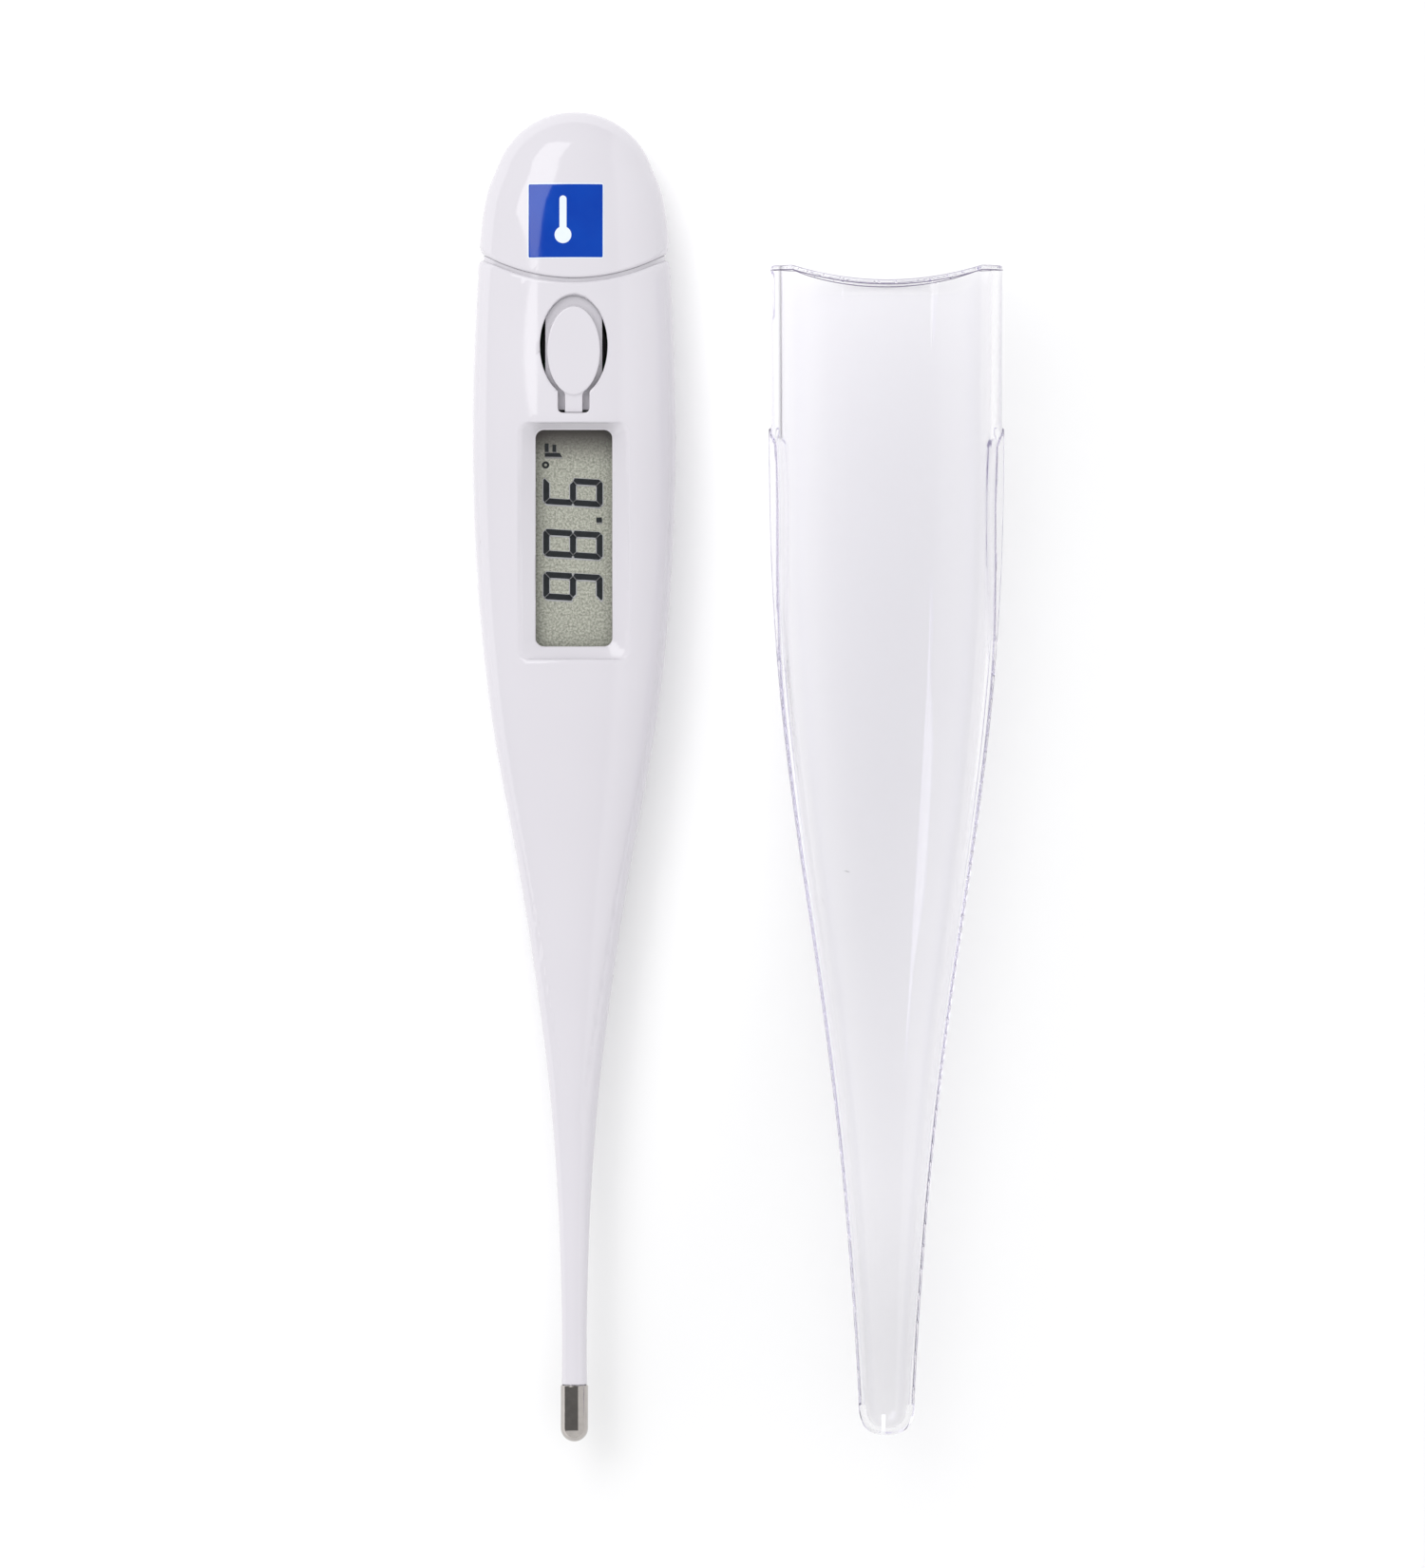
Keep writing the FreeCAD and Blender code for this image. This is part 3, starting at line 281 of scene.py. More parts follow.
# Painted shade: the dark lavender tones of the mouth's rim lines, standing for how the clear edges look.
RIM_PAINTED_SHADE = solid_material("case_rim_tone", (0.36, 0.34, 0.42), (0.42, 0.4, 0.48), (0.2, 0.35),
                          1.0, 0.001, 5.0)
INNER_RIM_PAINTED_SHADE = solid_material("case_rim_inner_tone", (0.14, 0.12, 0.19), (0.18, 0.155, 0.235), (0.2, 0.35),
                                1.0, 0.001, 5.0)
GATE_TONE = solid_material("case_gate_tone", (0.84, 0.84, 0.86), (0.9, 0.9, 0.92), (0.3, 0.45),
                           1.0, 0.001, 5.0)
INK = print_and_painted_light_layer("display_ink", (0.004, 0.007, 0.011), (0.008, 0.012, 0.018), 3.0, (0.35, 0.5), 6.0)
# Painted shadow: the dim grey of the marks' offset copies, standing for their shadow on the layer beneath.
PAINTED_MARK_SHADOW = print_and_painted_light_layer("display_ghost", (0.17, 0.17, 0.175), (0.225, 0.225, 0.235), 9.0, (0.45, 0.6), 12.0)
# Painted highlight: the pale tone of the halo round and between the display's strokes.
PAINTED_HALO = print_and_painted_light_layer("display_sheen", (0.31, 0.315, 0.34), (0.36, 0.365, 0.39), 9.0, (0.4, 0.55), 12.0)

for node in NODES.values():
    for place in node.material_slots:
        name = place.material.name.split(".")[0] if place.material else ""
        if name in MATERIALS:
            place.material = MATERIALS[name]


# ---------------------------------------------------------------- distance fields
def fillet_max(a, b, radius):
    """The shape inside both fields, its edge rounded off."""
    over_a, over_b = np.maximum(radius + a, 0), np.maximum(radius + b, 0)
    return np.minimum(-radius, np.maximum(a, b)) + np.hypot(over_a, over_b)


def fillet_min(a, b, radius):
    """The shape inside either field, the inner corner filled."""
    return -fillet_max(-a, -b, radius)


def less(a, b, radius):
    """Field a with field b cut out of it."""
    return fillet_max(a, -b, radius)


def oval(x, y, wide, tall):
    """Distance to an upright ellipse, true to first order near it."""
    span = np.sqrt((x / wide) ** 2 + (y / tall) ** 2) + TINY
    return (span - 1) * span / (np.sqrt((x / wide ** 2) ** 2 + (y / tall ** 2) ** 2) + TINY)


def ellipsoid(x, y, z, wide, long, thick):
    """Distance to an ellipsoid, true to first order near it."""
    span = np.sqrt((x / wide) ** 2 + (y / long) ** 2 + (z / thick) ** 2) + TINY
    steep = np.sqrt((x / wide ** 2) ** 2 + (y / long ** 2) ** 2 + (z / thick ** 2) ** 2) / span + TINY
    return (span - 1) / steep


def plate(x, y, half_x, half_y, corner):
    """Distance to a rectangle with round corners."""
    dx, dy = np.abs(x) - half_x + corner, np.abs(y) - half_y + corner
    return np.hypot(np.maximum(dx, 0), np.maximum(dy, 0)) + np.minimum(np.maximum(dx, dy), 0) - corner


def slab(value, low, high):
    """Distance to the space between two levels."""
    return np.abs(value - (low + high) / 2) - (high - low) / 2


def ease(value, start, end):
    """Goes smoothly from 0 to 1 while the value goes from start to end."""
    t = np.clip((value - start) / (end - start), 0, 1)
    return t * t * (3 - 2 * t)


class Curve:
    """A smooth curve through points that lie evenly or unevenly along one axis."""

    def __init__(self, places, values, end_slope=None):
        self.x, self.v = np.array(places, float), np.array(values, float)
        n = len(self.x)
        step = np.diff(self.x)
        slope = np.diff(self.v) / step
        system, right = np.zeros((n, n)), np.zeros(n)
        system[0, :2] = system[-1, -2:] = 1
        system[0, 1] = system[-1, -2] = 0.5
        right[0], right[-1] = 1.5 * slope[0], 1.5 * slope[-1]
        for k in range(1, n - 1):
            system[k, k - 1], system[k, k + 1] = step[k], step[k - 1]
            system[k, k] = 2 * (step[k - 1] + step[k])
            right[k] = 3 * (step[k] * slope[k - 1] + step[k - 1] * slope[k])
        if end_slope is not None:
            system[-1], right[-1] = 0, end_slope
            system[-1, -1] = 1
        self.m = np.linalg.solve(system, right)

    def __call__(self, y):
        """Value and slope at y."""
        y = np.clip(np.asarray(y, float), self.x[0], self.x[-1])
        k = np.clip(np.searchsorted(self.x, y, side="right") - 1, 0, len(self.x) - 2)
        h = self.x[k + 1] - self.x[k]
        t = (y - self.x[k]) / h
        a, b, ma, mb = self.v[k], self.v[k + 1], self.m[k] * h, self.m[k + 1] * h
        value = ((2 * t ** 3 - 3 * t ** 2 + 1) * a + (t ** 3 - 2 * t ** 2 + t) * ma
                 + (3 * t ** 2 - 2 * t ** 3) * b + (t ** 3 - t ** 2) * mb)
        slope = ((6 * t ** 2 - 6 * t) * a + (3 * t ** 2 - 4 * t + 1) * ma
                 + (6 * t - 6 * t ** 2) * b + (3 * t ** 2 - 2 * t) * mb) / h
        return value, slope


def curves(rows, end_slopes=(None, None)):
    """Curves of half width and half thickness along y, from rows of y, half width and half thickness."""
    places, *columns = zip(*rows)
    return [Curve(places, values, slope) for values, slope in zip(columns, end_slopes)]


def tube(x, y, z, wide, thick):
    """Distance to a body of elliptical sections whose half width and half thickness follow two curves."""
    (a, da), (b, db) = wide(y), thick(y)
    span = np.sqrt((x / a) ** 2 + (z / b) ** 2) + TINY
    gx, gz = x / a ** 2 / span, z / b ** 2 / span
    gy = -(x ** 2 * da / a ** 3 + z ** 2 * db / b ** 3) / span
    return (span - 1) / (np.sqrt(gx ** 2 + gy ** 2 + gz ** 2) + TINY)


RAY_REACH_X, RAY_REACH_Z = 30, 60
RAY_SHARES = (0.7, 0.74, 0.78, 0.82)


def measured(node, axis, places, middle):
    """Rows of y, half width and half thickness of a CAD node's sections, found by rays onto its surface."""
    tree = BVHTree.FromObject(NODES[node], bpy.context.evaluated_depsgraph_get())
    rows = []
    for y in places:
        side = tree.ray_cast(Vector((middle + RAY_REACH_X, y, axis)) * MM, Vector((-1, 0, 0)))[0]
        half = side.x / MM - middle
        tops = []
        for share in RAY_SHARES:
            start = Vector((middle + share * half, y, RAY_REACH_Z)) * MM
            top = tree.ray_cast(start, Vector((0, 0, -1)))[0]
            tops.append((top.z / MM - axis) / math.sqrt(1 - share ** 2))
        rows.append((y, half, sum(tops) / len(tops)))
    return rows


# ---------------------------------------------------------------- meshes
GRADIENT_REACH = 0.004
SURFACE_PASSES = 4
CHUNK = 24


def place_piece(name, mesh, body, material, stands_for=None):
    """Puts a mesh on a body. A material given by name is the record's material of that name."""
    slot = material if isinstance(material, str) else None
    mesh.materials.append(MATERIALS[slot] if slot else material)
    piece = bpy.data.objects.new(name, mesh)
    bpy.context.scene.collection.objects.link(piece)
    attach(piece, body)
    if stands_for:
        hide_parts(stands_for)


def gradient(field, points):
    made = np.empty_like(points)
    for axis in range(3):
        step = np.zeros(3)
        step[axis] = GRADIENT_REACH
        made[:, axis] = (field(*(points + step).T) - field(*(points - step).T)) / (2 * GRADIENT_REACH)
    return made


def skin(name, field, box, step, adapt, body, material, stands_for=None):
    """A closed mesh of the surface where the field is zero, drawn onto it, with the field's own normals."""
    axes = [np.arange(a - 2.5 * step, b + 3.5 * step, step) for a, b in zip(*box)]
    values = np.empty([len(a) for a in axes], np.float32)
    for start in range(0, len(axes[1]), CHUNK):
        along = axes[1][start:start + CHUNK]
        values[:, start:start + CHUNK] = field(axes[0][:, None, None], along[None, :, None],
                                               axes[2][None, None, :])
    band = 3 * step
    grid = openvdb.FloatGrid(band)
    grid.copyFromArray(np.clip(values, -band, band))
    points, triangles, quads = grid.convertToPolygons(isovalue=0.0, adaptivity=adapt)
    points = points.astype(float) * step + np.array([a[0] for a in axes])
    for _ in range(SURFACE_PASSES):
        slope = gradient(field, points)
        off = field(*points.T) / np.maximum((slope ** 2).sum(1), 0.3)
        points -= np.clip(off, -0.5 * step, 0.5 * step)[:, None] * slope
    normals = gradient(field, points)
    normals /= np.linalg.norm(normals, axis=1)[:, None] + 1e-12
    faces = [*(f[::-1] for f in triangles.tolist()), *(f[::-1] for f in quads.tolist())]
    mesh = bpy.data.meshes.new(name)
    mesh.from_pydata((points * MM).tolist(), [], faces)
    mesh.update()
    first = mesh.polygons[0]
    if Vector(normals[first.vertices[0]]).dot(first.normal) < 0:
        mesh.flip_normals()
    mesh.shade_smooth()
    mesh.normals_split_custom_set_from_vertices(normals.tolist())
    place_piece(name, mesh, body, material, stands_for)


def add_mesh(name, points, faces, body, material, smooth=True, stands_for=None):
    """A piece from points in millimetres."""
    mesh = bpy.data.meshes.new(name)
    mesh.from_pydata([tuple(float(v) * MM for v in p) for p in points], [], faces)
    mesh.update()
    if smooth:
        mesh.shade_smooth()
    place_piece(name, mesh, body, material, stands_for)


def full_turn(count):
    """Angles that go once round."""
    return np.linspace(0, 2 * math.pi, count, endpoint=False)


def circle(x, y, radius, count):
    return [(x + radius * math.cos(t), y + radius * math.sin(t)) for t in full_turn(count)]


def arc(x, y, radius, start, end, count):
    """Points on part of a circle, between two angles in degrees."""
    return [(x + radius * math.cos(t), y + radius * math.sin(t))
            for t in np.radians(np.linspace(start, end, count))]


def ring_faces(around, first, second):
    """The faces between two rings of points that start at two indices."""
    return [(first + k, first + (k + 1) % around, second + (k + 1) % around, second + k)
            for k in range(around)]


# ---------------------------------------------------------------- the housing
AXIS = 5.0
SEAM_RADIUS, SEAM_GROOVE = 17.2, 0.38
SEAM_CENTRE = 24.75 + SEAM_RADIUS
STEM_END = -80.8
WINDOW_MIDDLE, WINDOW_HALF_WIDE, WINDOW_HALF_LONG, WINDOW_CORNER = 0.01, 3.645, 10.30, 0.8
BEZEL_SLOPE = math.tan(math.radians(1.9))
KEY_MIDDLE = 18.3
PARTING_HEIGHT, PARTING_SPREAD, PARTING_RISE = 6.62, 0.13, 0.05
# Rows of y, half width and half thickness; measured rows go between them.
NOSE_CENTRE, NOSE_RADIUS, NOSE_THICK = 33.046, 7.75, 4.34
NOSE_FROM, NOSE_FROM_WIDE, NOSE_FROM_THICK = 36, 7.165, 4.0124
SECTIONS = ((STEM_END, 1.22, 1.20), (-73, 1.23, 1.21), (-64, 1.52, 1.44), (-52, 2.43, 1.95),
            (-41, 3.83, 2.60), (-30, 5.58, 3.38), (-19, 7.60, 4.35), (-5, 9.16, 5.13), (10, 9.70, 5.43),
            (24, 9.25, 4.99), (27.5, 9.05, 4.95), (31, 8.72, 4.82), (33.5, 8.18, 4.56),
            (NOSE_FROM, NOSE_FROM_WIDE, NOSE_FROM_THICK))
BETWEEN = (-77, -68.5, -58, -46.5, -35.5, -24.5, -12, 2.5, 17)
NOSE_SLOPES = (-(NOSE_FROM - NOSE_CENTRE) / NOSE_FROM_WIDE,
               -(NOSE_FROM - NOSE_CENTRE) / NOSE_FROM_THICK * (NOSE_THICK / NOSE_RADIUS) ** 2)
WIDE, THICK = curves(sorted([*SECTIONS, *measured("main_housing", AXIS, BETWEEN, 0)]), NOSE_SLOPES)
ROOM_WIDE, ROOM_THICK = curves((
    (-57, 0.75, 0.62), (-45, 1.9, 1.25), (-36, 3.1, 1.75), (-27, 4.9, 2.45), (-19, 6.45, 2.85),
    (-5, 8.0, 3.10), (7, 8.45, 3.10), (14, 8.35, 3.60), (21, 8.30, 3.75)))


def window_plan(x, y, grow=0.0):
    return plate(x, y - WINDOW_MIDDLE, WINDOW_HALF_WIDE + grow, WINDOW_HALF_LONG + grow,
                 WINDOW_CORNER + grow * 0.5)


def bezel_recess(x, y, z):
    """The sunken frame: four slopes that run from the rim down to the window."""
    rim = plate(x, y + 0.29, 5.2, 11.22, 1.0)
    foot = window_plan(x, y, 0.12)
    share = np.clip(foot / np.maximum(foot - rim, 0.3), 0, 1.4)
    top = 9.28 + y * BEZEL_SLOPE
    bottom = 8.4 + 0.012 * y
    level = bottom + share * (top - bottom)
    return fillet_max(rim, (level - z) * 0.86, 0.05)


def key_hole(x, y, z):
    """The oval hole round the key, a little longer at its brim, with the slots beside the neck."""
    ends = 4.74 + 0.16 * np.clip((z - 9.3) / 0.7, 0, 1)
    hole = oval(x, y - KEY_MIDDLE, 3.21, ends)
    slot = plate(x, y - 13.2, 1.49, 1.3, 0.45)
    return fillet_min(hole, slot, 0.12)


def housing_hollow(x, y, z):
    """Everything cut out of the housing from inside: room, cap mouth, stem bore and seats."""
    room = np.maximum(tube(x, y, z - 4.6, ROOM_WIDE, ROOM_THICK), slab(y, -57, 21))
    mouth = np.maximum(oval(x, z - AXIS, 8.3, 4.2), 20.9 - y)
    bore = np.maximum(np.hypot(x, z - AXIS) - 0.7, y + 55)
    display_seat = np.maximum(plate(x, y, 5.0, 11.9, 0.05), slab(z, 5.5, 7.7))
    buzzer_seat = np.maximum(np.hypot(x, y - 2) - 4.65, slab(z, 1.75, 2.95))
    key_relief = np.maximum(plate(x, y - 17.85, 2.95, 5.8, 0.5), slab(z, 7.5, 9.34))
    hollow = np.minimum(np.minimum(room, mouth), np.minimum(bore, display_seat))
    return np.minimum(hollow, np.minimum(buzzer_seat, key_relief))


def seam_round(x, base, extra):
    """The seam's edge radius, larger at the stick's two sides."""
    return base + extra * ease(np.abs(x), 7.2, 8.9)


def housing_field(x, y, z):
    form = tube(x, y, z - AXIS, WIDE, THICK)
    parting = np.exp(-((z - PARTING_HEIGHT) / PARTING_SPREAD) ** 2)
    form = form + PARTING_RISE * parting * ease(y, -75, -45)
    seam = SEAM_RADIUS + SEAM_GROOVE - np.hypot(x, y - SEAM_CENTRE)
    shape = fillet_max(form, seam, seam_round(x, 0.34, 0.4))
    shape = fillet_max(shape, STEM_END - y, 0.12)
    shape = fillet_max(shape, -z, 0.35)
    pin = np.maximum(np.hypot(x, z - AXIS) - 1.10, slab(y, -83.6, -79))
    shape = np.minimum(shape, pin)
    shape = less(shape, housing_hollow(x, y, z), 0.06)
    shape = less(shape, bezel_recess(x, y, z), 0.3)
    shape = less(shape, np.maximum(window_plan(x, y), 7.0 - z), 0.09)
    return less(shape, np.maximum(key_hole(x, y, z), 8.0 - z), 0.1)


skin("housing_shell", housing_field, mm_box("main_housing"), 0.14, 0.015, "housing", MOULDING, "main_housing")


# ---------------------------------------------------------------- the cap
CAP_WALL = 0.95


def cap_field(x, y, z):
    barrel = tube(x, y, z - AXIS, WIDE, THICK)
    nose = ellipsoid(x, y - NOSE_CENTRE, z - AXIS, NOSE_RADIUS, NOSE_RADIUS, NOSE_THICK)
    seam = np.hypot(x, y - SEAM_CENTRE) - SEAM_RADIUS
    shape = fillet_max(np.where(y > NOSE_FROM, nose, barrel), seam, seam_round(x, 0.3, 0.3))
    collar = np.maximum(oval(x, z - AXIS, 8.08, 4.02), slab(y, 21.4, 28.2))
    shape = fillet_min(shape, collar, 0.05)
    notch = np.maximum(plate(x, y - 21.87, 4.1, 1.88, 0.4), 6.9 - z)
    shape = less(shape, notch, 0.1)
    inner, inner_thick = NOSE_RADIUS - CAP_WALL, NOSE_THICK - CAP_WALL
    bore = np.maximum(oval(x, z - AXIS, inner, inner_thick), y - NOSE_CENTRE)
    dome = ellipsoid(x, y - NOSE_CENTRE, z - AXIS, inner, inner, inner_thick)
    return less(shape, np.minimum(bore, dome), 0.1)


skin("cap_shell", cap_field, mm_box("battery_cap"), 0.14, 0.008, "battery_cover", MOULDING, "battery_cap")


# ---------------------------------------------------------------- the key
KEY_TOP, KEY_BRIM, KEY_LEAN = 10.34, 9.55, 0.06
SKIRT_LOW, SKIRT_HALF_WIDE = 8.8, 2.69


def key_field(x, y, z):
    """A crown on a wider skirt, with a strip along the skirt, the hinge's neck and the plunger below."""
    local = y - KEY_MIDDLE
    drawn_in = KEY_LEAN * np.clip((z - KEY_BRIM) / (KEY_TOP - KEY_BRIM), 0, 1)
    side = oval(x, local + 0.5, 2.56 - drawn_in, 4.26 - drawn_in)
    crown = fillet_max(side, slab(z, 9.0, KEY_TOP), 0.16)
    skirt = fillet_max(oval(x, local, 3.17, 4.7), slab(z, SKIRT_LOW, 9.26), 0.04)
    skirt = fillet_max(skirt, np.abs(x) - SKIRT_HALF_WIDE, 0.03)
    strip = fillet_max(plate(x, y - 17.74, SKIRT_HALF_WIDE, 5.56, 0.5), slab(z, SKIRT_LOW, 9.24), 0.05)
    neck = fillet_max(plate(x, y - 13.62, 0.83, 1.69, 0.05), slab(z, 9.36, 10.08), 0.04)
    plunger = fillet_max(np.hypot(x, local) - 1.2, slab(z, 8.45, 9.15), 0.05)
    shape = fillet_min(fillet_min(crown, skirt, 0.05), strip, 0.08)
    return np.minimum(fillet_min(shape, neck, 0.25), plunger)


key_low, key_high = mm_box("power_button")
KEY_BOX = (key_low, key_high + np.array((0, 0.7, 0)))
skin("key_top", key_field, KEY_BOX, 0.06, 0.005, "key", MOULDING, "power_button")


# ---------------------------------------------------------------- the case
CASE_AXIS, CASE_MIDDLE = 6.6, 29.8
END_FROM = -82.6
# Half width, length and half thickness of the blunt end, outside and inside.
END_OUTSIDE, END_INSIDE = (2.68, 2.9, 2.45), (1.95, 2.25, 1.75)
CASE_SECTIONS = ((END_FROM, 2.68, 2.45), (-72, 3.30, 2.70), (-60, 4.32, 3.25), (-45, 6.10, 4.15),
                 (-30, 8.30, 5.20), (-16, 10.06, 6.05), (-3, 10.98, 6.45), (11, 11.24, 6.56),
                 (26, 11.30, 6.60))
CASE_BETWEEN = (-77, -66, -52, -37, -23, -9, 4, 17)
CASE_WIDE, CASE_THICK = curves(sorted(
    [*CASE_SECTIONS, *measured("storage_case", CASE_AXIS, CASE_BETWEEN, CASE_MIDDLE)]))
HOLLOW_WIDE, HOLLOW_THICK = curves((
    (END_FROM, 1.95, 1.75), (-72, 2.62, 2.02), (-60, 3.58, 2.50), (-45, 5.30, 3.30), (-30, 7.42, 4.25),
    (-16, 9.05, 5.05), (-3, 9.86, 5.40), (11, 10.02, 5.55), (26.5, 10.10, 5.60)))
SHOULDER, SHOULDER_INSET, FLANGE_HALF = 10.4, 0.82, 0.4
MOUTH_DIP_LOW, MOUTH_DIP_RADIUS, MOUTH_CORNERS, MOUTH_LEAN = 24.70, 28.6, 26.15, 0.026


def case_end(x, y, z, wide, long, thick):
    """Distance to a blunt rounded end that starts at the case's last section."""
    bulge = np.maximum(-(y - END_FROM), 0)
    across = (x / wide) ** 2 + (z / thick) ** 2
    span = (across ** 1.25 + (bulge / long) ** 2.5) ** 0.4 + TINY
    return (span - 1) * thick


def case_mouth(x, z):
    """Where the case's mouth ends along y, over a point measured from the case's axis."""
    dip = MOUTH_DIP_LOW + MOUTH_DIP_RADIUS - np.sqrt(MOUTH_DIP_RADIUS ** 2 - x ** 2)
    return -fillet_max(-dip, -MOUTH_CORNERS, 0.5) - MOUTH_LEAN * (z + CASE_AXIS)


def case_field(x, y, z):
    """A tapering shell: its sides step in above the shoulder, but for a flange; a nub sits by the mouth."""
    x, z = x - CASE_MIDDLE, z - CASE_AXIS
    outline = tube(x, y, z, CASE_WIDE, CASE_THICK)
    inset = SHOULDER_INSET * ease(y, SHOULDER, SHOULDER - 1.7) * ease(y, -16, 4)
    side = np.abs(x) - CASE_WIDE(y)[0] + inset - 0.15 * ease(y, 4, SHOULDER + 0.5)
    barrel = fillet_max(outline, side, 0.9)
    flange = fillet_max(np.maximum(outline, y - SHOULDER - 0.1), slab(z, -FLANGE_HALF, FLANGE_HALF), 0.15)
    past_end = y < END_FROM
    shape = np.where(past_end, case_end(x, y, z, *END_OUTSIDE), fillet_min(barrel, flange, 0.15))
    room = np.where(past_end, case_end(x, y, z, *END_INSIDE), tube(x, y, z, HOLLOW_WIDE, HOLLOW_THICK))
    nub = fillet_max(plate(x + 10.2, y - 23.2, 0.25, 2.15, 0.2), slab(z, -0.35, 0.35), 0.15)
    shape = less(shape, room, 0.2)
    shape = fillet_min(shape, np.maximum(nub, outline), 0.12)
    return fillet_max(shape, y - case_mouth(x, z), 0.07)


def rim_line(name, inset, back, radius, material):
    """A fine closed line along the case's mouth, where an edge of the cut wall shows; the edge is real, and
    the line's opaque dark lavender colour is painted shade for how that clear edge looks.
    """
    around, sides = 360, 8
    turn = full_turn(around)
    a, b = CASE_WIDE(25.0)[0] - inset, CASE_THICK(25.0)[0] - inset
    x, z = a * np.cos(turn), b * np.sin(turn)
    path = np.stack([CASE_MIDDLE + x, case_mouth(x, z) - back, CASE_AXIS + z], 1)
    points = []
    for k in range(around):
        ahead = Vector(path[(k + 1) % around] - path[k - 1]).normalized()
        out = Vector((b * math.cos(turn[k]), 0, a * math.sin(turn[k]))).normalized()
        up = ahead.cross(out).normalized()
        points += [tuple(Vector(path[k]) + radius * (math.cos(t) * out + math.sin(t) * up))
                   for t in full_turn(sides)]
    faces = [face for k in range(around) for face in
             ((k * sides + j, k * sides + (j + 1) % sides, (k + 1) % around * sides + (j + 1) % sides,
               (k + 1) % around * sides + j) for j in range(sides))]
    add_mesh(name, points, faces, "case", material)


def gate_field(x, y, z):
    """The moulding gate's pale stub, inside the wall of the case's blunt end."""
    x, z = x - CASE_MIDDLE, z - CASE_AXIS
    depth = case_end(x, y, z, *END_OUTSIDE)
    bar = fillet_max(plate(x + 0.3, y + 84.36, 0.19, 0.98, 0.12), slab(depth, -0.5, -0.14), 0.06)
    return np.maximum(bar, -z)


skin("case_shell", case_field, mm_box("storage_case"), 0.18, 0.003, "case", "clear_plastic", "storage_case")
rim_line("case_rim", 0.4, -0.04, 0.033, RIM_PAINTED_SHADE)
rim_line("case_rim_inner", 0.2, 0.37, 0.045, INNER_RIM_PAINTED_SHADE)
GATE_BOX = (np.array((CASE_MIDDLE - 0.8, -85.5, CASE_AXIS + 0.3)),
            np.array((CASE_MIDDLE + 0.1, -83.3, CASE_AXIS + 2.6)))
skin("case_gate", gate_field, GATE_BOX, 0.05, 0.0, "case", GATE_TONE)


# ---------------------------------------------------------------- the steel tip
TIP_RADIUS, TIP_BORE, TIP_TOP, TIP_END, TIP_FLOOR = 1.31, 1.17, -80.82, -86.22, 0.14
ROLL_OUTER, ROLL_INNER = 0.11, 0.04


def lathe(name, profile, height, around, body, material, stands_for):
    """A closed body: a profile of distances from an axis and places along y, turned about that axis."""
    points, rings = [], []
    for radius, along in profile:
        rings.append(len(points))
        if radius < TINY:
            points.append((0, along, height))
        else:
            points += [(x, along, height + z) for x, z in circle(0, 0, radius, around)]
    rings.append(len(points))
    faces = []
    for k in range(len(profile) - 1):
        a, b = rings[k], rings[k + 1]
        for j in range(around):
            n = (j + 1) % around
            if b - a == 1:
                faces.append((a, b + n, b + j))
            elif rings[k + 2] - b == 1:
                faces.append((a + j, a + n, b))
            else:
                faces.append((a + j, a + n, b + n, b + j))
    add_mesh(name, points, faces, body, material, stands_for=stands_for)


tip_round = TIP_END + TIP_RADIUS
tip_profile = [
    (0, TIP_END), *arc(0, tip_round, TIP_RADIUS, -89, 0, 24)[1:],
    *[(TIP_RADIUS, along) for along in np.linspace(tip_round + 0.5, TIP_TOP - 0.35, 8)],
    *arc(TIP_RADIUS - ROLL_OUTER, TIP_TOP - ROLL_OUTER, ROLL_OUTER, 0, 90, 7),
    *arc(1.235, TIP_TOP - ROLL_INNER, ROLL_INNER, 90, 180, 4)[1:],
    (TIP_BORE, TIP_TOP - 0.4), (TIP_BORE, tip_round),
    *arc(0, tip_round, TIP_BORE, 0, -89, 16)[1:], (0, TIP_END + TIP_FLOOR)]
lathe("steel_tip", tip_profile, AXIS, 96, "housing", "polished_steel", "probe_tip_cap")


# ---------------------------------------------------------------- the display's marks
DIGIT_TALL, DIGIT_WIDE, STROKE, STROKE_CUT, SLANT = 5.74, 2.72, 0.66, 0.35, 0.06
BASELINE = 2.76
DIGITS = ((-6.15, "abcdfg"), (-2.075, "abcdefg"), (2.92, "acdefg"))
DECIMAL_POINT = [(2.11, 1.54), (2.66, 1.54), (2.66, 2.02), (2.11, 2.02)]
F_LETTER = ([(0.0, 0.0), (0.38, 0.24), (0.38, 1.3), (0.34, 1.68), (0.0, 1.68)],
            [(0.44, 1.3), (1.27, 1.3), (1.27, 1.68), (0.44, 1.68)],
            [(0.46, 0.58), (1.16, 0.58), (1.16, 0.94), (0.46, 0.94)])
DEGREE_SIGN, DEGREE_OUTER, DEGREE_INNER = (-2.72, 7.02), 0.35, 0.13


